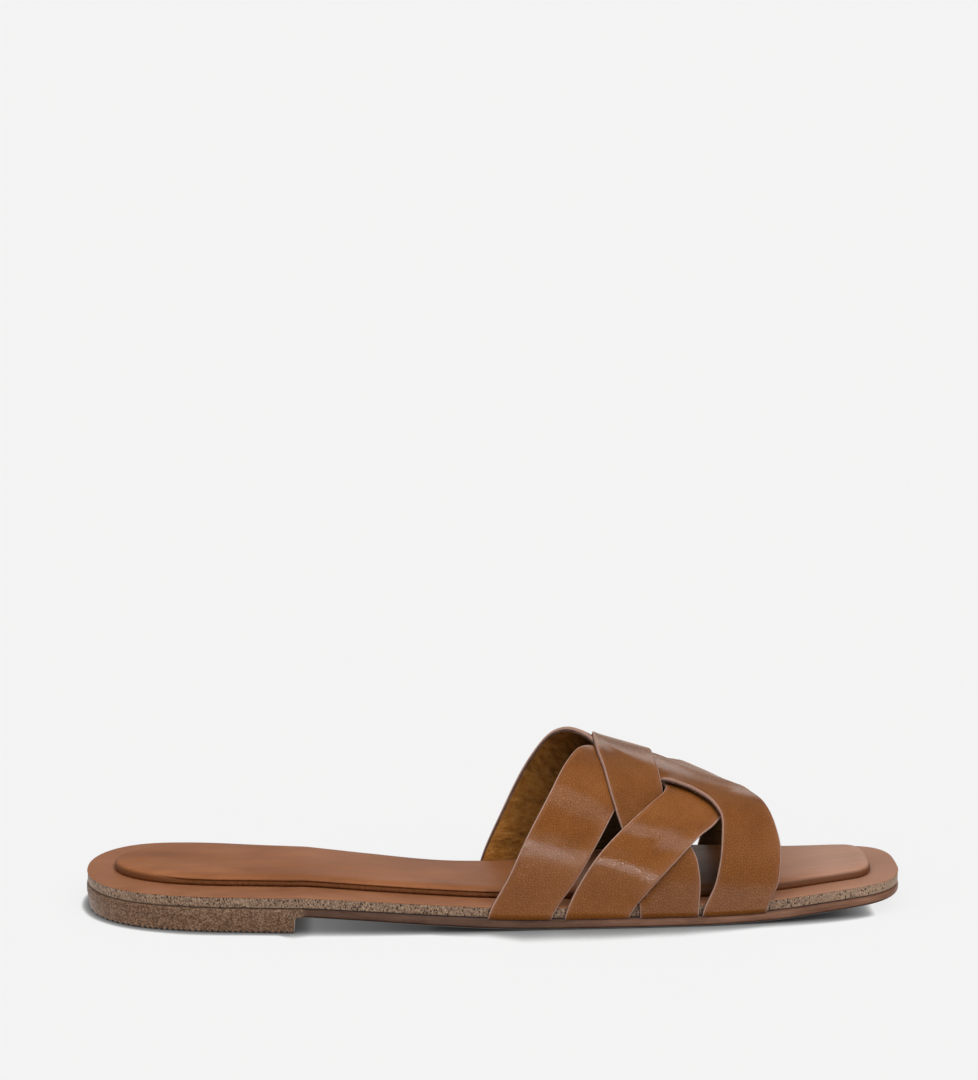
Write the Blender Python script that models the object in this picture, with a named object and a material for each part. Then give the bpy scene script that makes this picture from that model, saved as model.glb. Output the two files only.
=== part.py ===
"""Strappy flat slide sandal for the right foot: four woven straps on a low heeled sole.

Metres, +X to the toe, -Y to the outer side of the foot, +Z up. A station is a length
from the back of the heel. An angle goes round the foot: 0 at the outer edge of the
sole, 90 at the ridge of the instep and 180 at the inner edge.
"""

import math

import bmesh
import bpy
import numpy as np

MM = 0.001

# Driving sizes
SOLE_LENGTH = 253.4 * MM
SEAM_GAP = 0.3 * MM
HEEL_LENGTH = 65.2 * MM
HEEL_HEIGHT = 4.7 * MM
HEEL_TAPER = 0.5 * MM
HEEL_BEVEL = 0.4 * MM
OUTSOLE_THICKNESS = 2.6 * MM
OUTSOLE_BEVEL = 0.5 * MM
MIDSOLE_THICKNESS = 3.5 * MM
MIDSOLE_BEVEL = 0.5 * MM
PAD_THICKNESS = 3.3 * MM
PAD_SHOULDER = 2.0 * MM
PAD_HEEL_RIM = 8.5 * MM
PAD_TOE_RIM = 8.6 * MM
STRAP_THICKNESS = 1.7 * MM
STRAP_LIFT = 1.2 * MM
STRAP_STEPS_ALONG = 44
STRAP_STEPS_ACROSS = 6
LAST_FULLNESS = 2.6
OUTLINE_STEPS = 56

# Rounded ends: how far the rounding reaches in, and its squareness
SOLE_HEEL_END = (44.0 * MM, 2.1)
SOLE_TOE_END = (14.0 * MM, 3.0)
PAD_HEEL_END = (36.0 * MM, 2.1)
PAD_TOE_END = (8.0 * MM, 3.4)

# Outline of the midsole and the plain rim left round the pad, in millimetres
SOLE_COLUMNS = ("station", "outer", "inner", "outer_rim", "inner_rim")
SOLE_ROWS = (
    (0.0, 35.4, 43.5, 15.0, 16.5),
    (14.0, 33.3, 39.4, 12.8, 14.4),
    (28.0, 32.2, 34.6, 11.6, 11.6),
    (48.0, 33.5, 29.6, 11.8, 11.2),
    (66.0, 34.9, 26.2, 11.9, 11.0),
    (88.0, 34.0, 22.3, 10.5, 10.5),
    (108.0, 32.8, 20.2, 9.7, 10.0),
    (124.0, 31.9, 22.4, 9.5, 10.0),
    (142.0, 30.8, 29.6, 9.2, 10.0),
    (160.0, 30.0, 37.2, 8.6, 10.0),
    (176.0, 29.3, 42.0, 7.8, 10.0),
    (192.0, 28.3, 43.0, 7.6, 9.8),
    (210.0, 26.3, 39.0, 8.8, 9.4),
    (226.0, 23.6, 33.2, 8.8, 9.2),
    (240.0, 20.9, 27.6, 8.6, 9.0),
    (253.4, 18.1, 22.0, 8.5, 9.0),
)

# Underside of the outsole and how far its edge stands out past the midsole
BASE_COLUMNS = ("station", "under", "ledge")
BASE_ROWS = (
    (0.0, 5.0, 0.3),
    (67.0, 5.0, 0.3),
    (72.0, 4.7, 0.6),
    (88.0, 3.5, 1.4),
    (104.0, 2.2, 2.2),
    (120.0, 1.0, 2.8),
    (134.0, 0.25, 2.9),
    (146.0, 0.0, 2.9),
    (188.0, 0.0, 2.7),
    (202.0, 0.2, 2.2),
    (214.0, 0.75, 2.0),
    (228.0, 2.0, 1.8),
    (240.0, 3.2, 1.2),
    (253.4, 4.75, 0.15),
)

# Height of the ridge of the foot and its place across, as a share from outer to inner
RIDGE_COLUMNS = ("station", "height", "across")
RIDGE_ROWS = (
    (118.0, 60.0, 0.58),
    (136.0, 55.5, 0.58),
    (150.0, 51.0, 0.58),
    (162.0, 46.3, 0.57),
    (178.0, 40.4, 0.56),
    (186.0, 38.2, 0.55),
    (194.0, 35.3, 0.54),
    (202.0, 32.5, 0.53),
    (212.0, 30.3, 0.51),
    (222.0, 29.0, 0.49),
)

# Straps, a row for each cut across: station, angle and lift in layers of both edges
STRAP_COLUMNS = ("rear", "rear_angle", "rear_lift", "front", "front_angle", "front_lift")
STRAP_ROWS = {
    "strap_rear_to_front": (
        (123.8, 0.0, 0.0, 143.4, 0.0, 0.0),
        (129.5, 8.0, 0.0, 150.6, 9.0, 0.0),
        (136.0, 23.0, 0.0, 157.1, 23.0, 0.0),
        (142.5, 41.0, 0.0, 162.6, 40.0, 0.0),
        (148.5, 63.0, 0.0, 167.3, 56.0, 0.0),
        (153.5, 79.0, 0.0, 173.5, 69.0, 0.0),
        (160.0, 88.0, 0.0, 182.0, 77.0, 0.0),
        (170.0, 95.0, 0.0, 191.5, 84.0, 0.0),
        (179.5, 102.0, 0.0, 199.5, 92.0, 0.0),
        (187.0, 112.0, 0.6, 205.0, 103.0, 0.2),
        (193.0, 125.0, 1.0, 208.0, 119.0, 0.6),
        (197.0, 141.0, 0.8, 212.5, 138.0, 0.5),
        (198.0, 157.0, 0.3, 215.5, 157.0, 0.2),
        (194.5, 180.0, 0.0, 213.5, 180.0, 0.0),
    ),
    "strap_front_to_rear": (
        (189.5, 0.0, 0.0, 209.4, 0.0, 0.0),
        (193.6, 12.5, 0.0, 213.4, 15.0, 0.0),
        (195.4, 30.5, 0.4, 214.2, 34.5, 0.2),
        (195.7, 46.5, 1.0, 213.0, 54.5, 0.6),
        (192.8, 59.0, 1.3, 209.4, 78.0, 1.0),
        (186.5, 64.5, 1.4, 200.9, 89.5, 1.0),
        (178.0, 68.0, 1.4, 189.1, 87.0, 1.0),
        (168.5, 76.0, 1.1, 179.4, 93.5, 1.0),
        (160.0, 88.0, 0.5, 172.0, 106.0, 1.0),
        (153.5, 100.0, 0.6, 165.8, 121.0, 0.6),
        (147.5, 117.0, 0.8, 160.8, 138.0, 0.4),
        (140.2, 141.0, 0.3, 156.0, 154.0, 0.1),
        (131.7, 165.0, 0.0, 151.0, 168.0, 0.0),
        (124.0, 180.0, 0.0, 144.0, 180.0, 0.0),
    ),
    "strap_rear_arch": (
        (170.5, 0.0, 0.0, 188.5, 0.0, 0.0),
        (169.4, 11.0, 0.0, 189.0, 11.0, 0.0),
        (167.2, 23.0, 0.0, 188.2, 22.0, 0.0),
        (164.4, 35.0, 0.0, 184.7, 34.0, 0.0),
        (161.6, 48.0, 0.4, 180.0, 49.0, 0.3),
        (159.4, 64.0, 0.9, 177.6, 64.0, 1.4),
        (157.8, 80.0, 1.0, 176.4, 80.0, 1.6),
        (157.6, 98.0, 1.0, 176.2, 98.0, 1.6),
        (159.6, 114.0, 0.9, 177.6, 114.0, 1.4),
        (162.0, 131.0, 0.4, 180.4, 131.0, 0.3),
        (165.4, 146.0, 0.0, 184.6, 146.0, 0.0),
        (168.6, 158.0, 0.0, 188.6, 158.0, 0.0),
        (171.0, 169.0, 0.0, 190.6, 169.0, 0.0),
        (172.4, 180.0, 0.0, 190.6, 180.0, 0.0),
    ),
    "strap_front_arch": (
        (147.3, 0.0, 0.0, 167.2, 0.0, 0.0),
        (152.0, 9.0, 0.4, 172.5, 7.0, 0.2),
        (157.0, 18.5, 1.0, 178.5, 16.0, 0.8),
        (162.5, 28.0, 1.0, 184.0, 25.5, 1.0),
        (168.0, 37.5, 1.1, 188.8, 35.3, 0.8),
        (173.5, 47.8, 1.3, 193.9, 46.3, 0.1),
        (178.0, 57.8, 1.2, 197.0, 60.0, -0.3),
        (179.5, 67.6, 0.2, 196.5, 73.0, -0.8),
        (177.0, 79.4, -0.6, 192.0, 83.0, -1.0),
        (174.5, 90.0, -1.0, 189.5, 91.0, -1.0),
        (177.0, 101.0, -0.6, 192.0, 100.0, -1.0),
        (180.5, 112.0, 0.2, 196.5, 110.0, -0.8),
        (180.0, 122.0, 1.2, 198.0, 122.0, -0.3),
        (175.8, 132.0, 1.3, 195.0, 134.0, 0.2),
        (170.0, 142.5, 1.1, 190.8, 144.5, 0.8),
        (164.5, 152.0, 1.0, 186.0, 154.5, 1.0),
        (158.5, 161.5, 1.0, 180.0, 164.0, 0.8),
        (153.0, 171.0, 0.4, 174.0, 173.0, 0.2),
        (148.0, 180.0, 0.0, 168.0, 180.0, 0.0),
    ),
}

# Plain colours of the pieces
COLOURS = {
    "heel": (0.24, 0.16, 0.11),
    "outsole": (0.13, 0.06, 0.035),
    "midsole": (0.30, 0.19, 0.13),
    "insole": (0.33, 0.14, 0.06),
    "upper": (0.26, 0.095, 0.028),
}


def smooth(at, knots, values):
    """Cubic through the rows of a table that never overshoots a row."""
    at = np.clip(np.asarray(at, float), knots[0], knots[-1])
    step = np.diff(knots)
    slope = np.diff(values) / step
    tangent = np.zeros(len(knots))
    product = slope[:-1] * slope[1:]
    total = slope[:-1] + slope[1:]
    turning = product <= 0
    tangent[1:-1] = np.where(turning, 0, 2 * product / np.where(turning, 1, total))
    tangent[0] = slope[0]
    tangent[-1] = slope[-1]
    cell = np.clip(np.searchsorted(knots, at, side="right") - 1, 0, len(step) - 1)
    share = (at - knots[cell]) / step[cell]
    start = values[cell] * (1 + 2 * share) * (1 - share) ** 2
    leave = tangent[cell] * step[cell] * share * (1 - share) ** 2
    end = values[cell + 1] * share**2 * (3 - 2 * share)
    arrive = tangent[cell + 1] * step[cell] * share**2 * (share - 1)
    return start + leave + end + arrive


def table_value(columns, rows, name, station):
    table = np.array(rows)
    return smooth(np.asarray(station) / MM, table[:, 0], table[:, columns.index(name)])


def sole_value(name, station):
    return table_value(SOLE_COLUMNS, SOLE_ROWS, name, station) * MM


def base_value(name, station):
    return table_value(BASE_COLUMNS, BASE_ROWS, name, station) * MM


def ridge_height(station):
    return table_value(RIDGE_COLUMNS, RIDGE_ROWS, "height", station) * MM


def ridge_share(station):
    return table_value(RIDGE_COLUMNS, RIDGE_ROWS, "across", station)


def outsole_top(station):
    return base_value("under", station) + OUTSOLE_THICKNESS


def midsole_top(station):
    return outsole_top(station) + SEAM_GAP + MIDSOLE_THICKNESS


def rounded(inside, end):
    """Share of the full width at a distance inside a rounded end."""
    reach, power = end
    left = np.clip(1 - inside / reach, 0, 1)
    return (1 - left**power) ** (1 / power)


def outline(start, stop, outer, inner, heel_end, toe_end):
    """Stations and both edges of a plan shape, closed by its rounded ends."""
    turn = np.linspace(0, math.pi, OUTLINE_STEPS + 1)
    station = start + (stop - start) * (1 - np.cos(turn)) / 2
    middle = (inner(station) - outer(station)) / 2
    half = (inner(station) + outer(station)) / 2
    half = half * rounded(station - start, heel_end) * rounded(stop - station, toe_end)
    return station, middle - half, middle + half


def sole_outline(ledge):
    """Outline of the sole, grown by a ledge that may change along it."""

    def outer(station):
        return sole_value("outer", station) + ledge(station)

    def inner(station):
        return sole_value("inner", station) + ledge(station)

    start = -float(ledge(0.0))
    stop = SOLE_LENGTH + float(ledge(SOLE_LENGTH))
    return outline(start, stop, outer, inner, SOLE_HEEL_END, SOLE_TOE_END)


def no_ledge(station):
    return np.asarray(station) * 0.0


def outsole_ledge(station):
    return base_value("ledge", station)


def pad_outer(station):
    return sole_value("outer", station) - sole_value("outer_rim", station)


def pad_inner(station):
    return sole_value("inner", station) - sole_value("inner_rim", station)


EDGE = sole_outline(outsole_ledge)
MIDDLE_X = (EDGE[0][0] + EDGE[0][-1]) / 2
MIDDLE_Y = (EDGE[1].min() + EDGE[2].max()) / 2


def last_point(station, angle):
    """The last: at each station a superellipse from edge to edge of the sole."""
    outer = sole_value("outer", station) + SEAM_GAP
    inner = sole_value("inner", station) + SEAM_GAP
    foot = outsole_top(station) + SEAM_GAP
    ridge = (outer + inner) * ridge_share(station) - outer
    rise = ridge_height(station) - foot
    turn = np.radians(angle)
    reach = np.abs(np.cos(turn)) ** (2 / LAST_FULLNESS)
    near = ridge - (ridge + outer) * reach
    far = ridge + (inner - ridge) * reach
    across = np.where(turn < math.pi / 2, near, far)
    up = foot + rise * np.abs(np.sin(turn)) ** (2 / LAST_FULLNESS)
    return np.stack([station, across, up], -1)


def last_normal(station, angle):
    """Outward direction of the last, from small steps along it and round it."""
    step = 0.2 * MM
    low = np.clip(angle - 0.5, 0, 180)
    high = np.clip(angle + 0.5, 0, 180)
    along = last_point(station + step, angle) - last_point(station - step, angle)
    about = last_point(station, high) - last_point(station, low)
    normal = np.cross(along, about)
    return normal / np.linalg.norm(normal, axis=-1, keepdims=True)


def placed(points):
    """Moves points from stations to the frame of the sandal."""
    return points - np.array([MIDDLE_X, MIDDLE_Y, 0.0])


def strap_sheet(rows):
    """Grid of points on the inner face of one strap, from its outer to its inner end."""
    table = np.array(rows)
    knots = np.arange(len(table), dtype=float)
    along = np.linspace(0, len(table) - 1, STRAP_STEPS_ALONG + 1)
    edges = [smooth(along, knots, values)[:, None] for values in table.T]
    share = np.linspace(0, 1, STRAP_STEPS_ACROSS + 1)
    station, angle, lift = [edges[i] + (edges[i + 3] - edges[i]) * share for i in range(3)]
    station = station * MM
    raised = lift[:, :, None] * STRAP_LIFT
    return placed(last_point(station, angle) + last_normal(station, angle) * raised)


def colour(obj, name):
    material = bpy.data.materials.new(name)
    material.use_nodes = True
    shader = material.node_tree.nodes["Principled BSDF"]
    shader.inputs["Base Color"].default_value = (*COLOURS[name], 1.0)
    shader.inputs["Roughness"].default_value = 0.5
    obj.data.materials.append(material)


def finish(name, mesh):
    """Turns a built mesh into an object of the scene."""
    bmesh.ops.recalc_face_normals(mesh, faces=mesh.faces)
    data = bpy.data.meshes.new(name)
    mesh.to_mesh(data)
    mesh.free()
    obj = bpy.data.objects.new(name, data)
    bpy.context.scene.collection.objects.link(obj)
    return obj


def add_bevel(obj, width, segments):
    bevel = obj.modifiers.new("edge", "BEVEL")
    bevel.width = width
    bevel.segments = segments
    bevel.limit_method = "ANGLE"
    bevel.angle_limit = math.radians(50)


def plan_faces(mesh, shape, height):
    """Strip of faces across a plan shape, at a height for each station."""
    station, near, far = shape
    level = height(station)
    rows = []
    for at, left, right, up in zip(station, near, far, level):
        points = placed(np.array([[at, left, up], [at, right, up]]))
        if right - left < 0.05 * MM:
            rows.append([mesh.verts.new(points.mean(axis=0))])
        else:
            rows.append([mesh.verts.new(points[0]), mesh.verts.new(points[1])])
    faces = []
    for first, second in zip(rows[:-1], rows[1:]):
        faces.append(mesh.faces.new(first + second[::-1]))
    return faces


def slab(name, shape, low, high):
    """Solid over a plan shape, extruded from its lower to its upper height."""
    mesh = bmesh.new()
    faces = plan_faces(mesh, shape, low)
    grown = bmesh.ops.extrude_face_region(mesh, geom=faces)
    for item in grown["geom"]:
        if isinstance(item, bmesh.types.BMVert):
            item.co.z = float(high(np.array(item.co.x + MIDDLE_X)))
    return finish(name, mesh)


def build_outsole():
    def low(station):
        return base_value("under", station)

    obj = slab("outsole", EDGE, low, outsole_top)
    add_bevel(obj, OUTSOLE_BEVEL, 1)
    colour(obj, "outsole")


def build_midsole():
    def low(station):
        return outsole_top(station) + SEAM_GAP

    obj = slab("midsole", sole_outline(no_ledge), low, midsole_top)
    add_bevel(obj, MIDSOLE_BEVEL, 1)
    colour(obj, "midsole")


def build_insole():
    def low(station):
        return midsole_top(station) + SEAM_GAP

    def high(station):
        return midsole_top(station) + SEAM_GAP + PAD_THICKNESS

    stop = SOLE_LENGTH - PAD_TOE_RIM
    shape = outline(PAD_HEEL_RIM, stop, pad_outer, pad_inner, PAD_HEEL_END, PAD_TOE_END)
    obj = slab("insole", shape, low, high)
    mesh = bmesh.new()
    mesh.from_mesh(obj.data)
    top = [edge for edge in mesh.edges if len(edge.link_faces) == 2]
    sharp = [edge for edge in top if edge.calc_face_angle() > 1.0]
    sharp = [edge for edge in sharp if min(face.normal.z for face in edge.link_faces) > -0.5]
    bmesh.ops.bevel(mesh, geom=sharp, offset=PAD_SHOULDER, segments=3, profile=0.5, affect="EDGES")
    mesh.to_mesh(obj.data)
    mesh.free()
    colour(obj, "insole")


def build_heel():
    """Heel lift: the back of the sole outline, a little smaller where it meets the ground."""
    station, near, far = sole_outline(no_ledge)
    kept = station < HEEL_LENGTH - 1.0 * MM
    ends = [np.interp(HEEL_LENGTH, station, side) for side in (near, far)]
    shape = (
        np.append(station[kept], HEEL_LENGTH),
        np.append(near[kept], ends[0]),
        np.append(far[kept], ends[1]),
    )

    def low(at):
        return np.asarray(at) * 0.0

    def high(at):
        return np.asarray(at) * 0.0 + HEEL_HEIGHT

    obj = slab("heel", shape, low, high)
    breast = HEEL_LENGTH - MIDDLE_X
    middle = (ends[0] + ends[1]) / 2 - MIDDLE_Y
    width = ends[1] - ends[0]
    for vertex in obj.data.vertices:
        if vertex.co.z < HEEL_HEIGHT / 2:
            vertex.co.x = breast + (vertex.co.x - breast) * (1 - HEEL_TAPER / HEEL_LENGTH)
            vertex.co.y = middle + (vertex.co.y - middle) * (1 - 2 * HEEL_TAPER / width)
    add_bevel(obj, HEEL_BEVEL, 1)
    colour(obj, "heel")


def build_strap(name):
    points = strap_sheet(STRAP_ROWS[name])
    mesh = bmesh.new()
    grid = [[mesh.verts.new(point) for point in row] for row in points]
    for first, second in zip(grid[:-1], grid[1:]):
        for near in range(STRAP_STEPS_ACROSS):
            mesh.faces.new([first[near], first[near + 1], second[near + 1], second[near]])
    data = bpy.data.meshes.new(name)
    mesh.to_mesh(data)
    mesh.free()
    obj = bpy.data.objects.new(name, data)
    bpy.context.scene.collection.objects.link(obj)
    leather = obj.modifiers.new("leather", "SOLIDIFY")
    leather.thickness = STRAP_THICKNESS
    leather.offset = 1.0
    leather.use_even_offset = True
    leather.use_quality_normals = True
    return obj


def build_upper():
    """The straps as one wall, joined wherever they cross."""
    straps = [build_strap(name) for name in STRAP_ROWS]
    upper = straps[0]
    upper.name = "upper"
    upper.data.name = "upper"
    for other in straps[1:]:
        other.hide_render = True
        other.display_type = "WIRE"
        join = upper.modifiers.new("join_" + other.name, "BOOLEAN")
        join.operation = "UNION"
        join.solver = "EXACT"
        join.object = other
    colour(upper, "upper")


def build():
    for obj in list(bpy.data.objects):
        bpy.data.objects.remove(obj, do_unlink=True)
    build_heel()
    build_outsole()
    build_midsole()
    build_insole()
    build_upper()


build()
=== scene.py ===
import math

import bmesh
import bpy
import numpy as np
from mathutils import Matrix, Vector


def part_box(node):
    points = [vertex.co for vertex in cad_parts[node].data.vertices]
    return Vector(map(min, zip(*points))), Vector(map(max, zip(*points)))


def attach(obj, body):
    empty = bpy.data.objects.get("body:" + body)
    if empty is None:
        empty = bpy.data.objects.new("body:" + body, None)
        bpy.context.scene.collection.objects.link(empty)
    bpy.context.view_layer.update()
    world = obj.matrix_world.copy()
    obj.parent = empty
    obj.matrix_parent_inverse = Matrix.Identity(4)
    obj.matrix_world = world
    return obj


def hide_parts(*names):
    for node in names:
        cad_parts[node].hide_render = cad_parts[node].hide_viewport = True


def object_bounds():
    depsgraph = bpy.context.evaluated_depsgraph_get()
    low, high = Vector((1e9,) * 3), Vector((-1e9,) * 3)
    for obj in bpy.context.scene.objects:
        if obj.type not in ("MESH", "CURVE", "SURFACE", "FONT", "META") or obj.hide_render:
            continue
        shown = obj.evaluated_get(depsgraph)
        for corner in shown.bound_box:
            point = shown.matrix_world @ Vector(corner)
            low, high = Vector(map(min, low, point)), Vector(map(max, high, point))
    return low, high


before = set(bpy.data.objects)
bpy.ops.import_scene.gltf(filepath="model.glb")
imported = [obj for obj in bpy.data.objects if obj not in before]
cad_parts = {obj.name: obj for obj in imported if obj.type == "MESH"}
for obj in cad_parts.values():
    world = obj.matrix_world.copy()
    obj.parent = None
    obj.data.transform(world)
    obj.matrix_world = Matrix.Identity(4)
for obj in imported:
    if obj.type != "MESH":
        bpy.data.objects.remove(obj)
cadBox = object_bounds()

mm = 0.001  # metres
centimetre = 10.0  # millimetres
print("frame loaded:", len(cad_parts), "solids")

# the sole and the last it is built on, in millimetres; a station is a length from the back of the heel
lastShape = {
    "length": 253.4,
    "seam": 0.3,  # between outsole and midsole, and between the sole and the straps
    "outsoleThick": 2.6,
    "midsoleThick": 3.5,
    "fullness": 2.6,  # power of the superellipse that the straps lie on
    "heelEnd": (44.0, 2.1),  # how far the rounding reaches in, and its squareness
    "toeEnd": (14.0, 3.0),
    "bunching": 0.85,  # how strongly the points of an outline gather towards both tips
    "steps": 400,  # along each side of an outline
    "normalStep": (0.2, 0.5),  # millimetres along and degrees round the last over which its direction is read
    "outlineColumns": ("station", "outer", "inner", "outerRim", "innerRim"),
    "outline": np.array([
        (0.0, 35.4, 43.5, 15.0, 16.5),
        (14.0, 33.3, 39.4, 12.8, 14.4),
        (28.0, 32.2, 34.6, 11.6, 11.6),
        (48.0, 33.5, 29.6, 11.8, 11.2),
        (66.0, 34.9, 26.2, 11.9, 11.0),
        (88.0, 34.0, 22.3, 10.5, 10.5),
        (108.0, 32.8, 20.2, 9.7, 10.0),
        (124.0, 31.9, 22.4, 9.5, 10.0),
        (142.0, 30.8, 29.6, 9.2, 10.0),
        (160.0, 30.0, 37.2, 8.6, 10.0),
        (176.0, 29.3, 42.0, 7.8, 10.0),
        (192.0, 28.3, 43.0, 7.6, 9.8),
        (210.0, 26.3, 39.0, 8.8, 9.4),
        (226.0, 23.6, 33.2, 8.8, 9.2),
        (240.0, 20.9, 27.6, 8.6, 9.0),
        (253.4, 18.1, 22.0, 8.5, 9.0),
    ]),
    "baseColumns": ("station", "under", "ledge"),
    "base": np.array([
        (0.0, 5.0, 0.3),
        (67.0, 5.0, 0.3),
        (72.0, 4.7, 0.6),
        (88.0, 3.5, 1.4),
        (104.0, 2.2, 2.2),
        (120.0, 1.0, 2.8),
        (134.0, 0.25, 2.9),
        (146.0, 0.0, 2.9),
        (188.0, 0.0, 2.7),
        (202.0, 0.2, 2.2),
        (214.0, 0.75, 2.0),
        (228.0, 2.0, 1.8),
        (240.0, 3.2, 1.2),
        (253.4, 4.75, 0.15),
    ]),
    "ridgeColumns": ("station", "height", "across"),
    "ridge": np.array([
        (118.0, 60.0, 0.58),
        (136.0, 55.5, 0.58),
        (150.0, 51.0, 0.58),
        (162.0, 46.3, 0.57),
        (178.0, 40.4, 0.56),
        (186.0, 38.2, 0.55),
        (194.0, 35.3, 0.54),
        (202.0, 32.5, 0.53),
        (212.0, 30.3, 0.51),
        (222.0, 29.0, 0.49),
    ]),
}


# cubic through the rows of a table, its slope at a row the harmonic mean of both sides, so it never overshoots
def smoothCurve(at, knots, values):
    at = np.clip(np.asarray(at, float), knots[0], knots[-1])
    step = np.diff(knots)
    slope = np.diff(values) / step
    product = slope[:-1] * slope[1:]
    turning = product <= 0
    inner = np.where(turning, 0, 2 * product / np.where(turning, 1, slope[:-1] + slope[1:]))
    tangent = np.concatenate([slope[:1], inner, slope[-1:]])
    cell = np.clip(np.searchsorted(knots, at, side="right") - 1, 0, len(step) - 1)
    share = (at - knots[cell]) / step[cell]
    start = values[cell] * (1 + 2 * share) * (1 - share) ** 2
    leave = tangent[cell] * step[cell] * share * (1 - share) ** 2
    end = values[cell + 1] * share ** 2 * (3 - 2 * share)
    arrive = tangent[cell + 1] * step[cell] * share ** 2 * (share - 1)
    return start + leave + end + arrive


# one named column of a table of the last, read at stations
def lastColumn(table, name, station):
    rows = lastShape[table]
    column = lastShape[table + "Columns"].index(name)
    return smoothCurve(station, rows[:, 0], rows[:, column])


# 0 below low, 1 above high, an S between them
def fade(value, low, high):
    share = np.clip((np.asarray(value, float) - low) / (high - low), 0, 1)
    return share * share * (3 - 2 * share)


# height of the outsole's underside, read from its table
def outsoleUnder(station):
    return lastColumn("base", "under", station)


# height of the midsole's underside: that of the outsole plus its thickness and the seam
def midsoleUnder(station):
    return outsoleUnder(station) + lastShape["outsoleThick"] + lastShape["seam"]


# height of the midsole's top: its underside plus its thickness
def midsoleTop(station):
    return midsoleUnder(station) + lastShape["midsoleThick"]


# share of the full width at a distance inside a rounded end: a superellipse quarter
def roundedEnd(inside, end):
    reach, power = end
    left = np.clip(1 - inside / reach, 0, 1)
    return (1 - left ** power) ** (1 / power)


# closed outline seen from above: stations bunched towards both tips, out along the outer edge and back
# along the inner one, each edge the middle line less or plus half the width
def planLoop(start, stop, edges, heelEnd, toeEnd, steps):
    share = np.linspace(0, 1, steps + 1)
    bunched = (1 - np.cos(math.pi * share)) / 2
    bunching = lastShape["bunching"]
    station = start + (stop - start) * (bunching * bunched + (1 - bunching) * share)
    outer, inner = edges(station)
    middle = (inner - outer) / 2
    half = (inner + outer) / 2
    half = half * roundedEnd(station - start, heelEnd) * roundedEnd(stop - station, toeEnd)
    near = np.stack([station, middle - half], -1)
    far = np.stack([station, middle + half], -1)
    return np.concatenate([near, far[-2:0:-1]])


# outline of the sole, each edge grown by a ledge in millimetres
def soleLoop(ledge, steps):
    def edges(station):
        return [lastColumn("outline", side, station) + ledge(station) for side in ("outer", "inner")]

    start = -float(ledge(0.0))
    stop = lastShape["length"] + float(ledge(lastShape["length"]))
    return planLoop(start, stop, edges, lastShape["heelEnd"], lastShape["toeEnd"], steps)


# the midsole's own outline: nothing added at any station
def noLedge(station):
    return np.asarray(station, float) * 0


# how far the outsole stands out past the midsole, read from its table
def outsoleLedge(station):
    return lastColumn("base", "ledge", station)


# outward direction in plan: the loop's own direction turned a quarter to the right
def loopNormals(loop):
    along = np.roll(loop, -1, 0) - np.roll(loop, 1, 0)
    out = np.stack([along[:, 1], -along[:, 0]], -1)
    return out / np.linalg.norm(out, axis=1, keepdims=True)


edgeLoop = soleLoop(outsoleLedge, lastShape["steps"])
middleX = -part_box("midsole")[0][0] / mm  # the back of the midsole is station 0
middleY = (edgeLoop[:, 1].min() + edgeLoop[:, 1].max()) / 2


# distance walked along an axis of a line or a grid of points: the sum of the steps so far
def walked(points, axis=0):
    total = np.cumsum(np.linalg.norm(np.diff(points, axis=axis), axis=-1), axis=axis)
    first = np.zeros_like(np.take(total, [0], axis=axis))
    return np.concatenate([first, total], axis=axis)


# a quarter round of radius 1 from flat to upright: what is still missing outwards and what is gained upwards
def quarterRound(steps):
    turn = np.linspace(0, math.pi / 2, steps)
    return 1 - np.sin(turn), 1 - np.cos(turn)


# metres: points as near as this are one, and shorter edges than this are dropped
weld = {"points": 2e-6, "edges": 1e-7}


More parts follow.
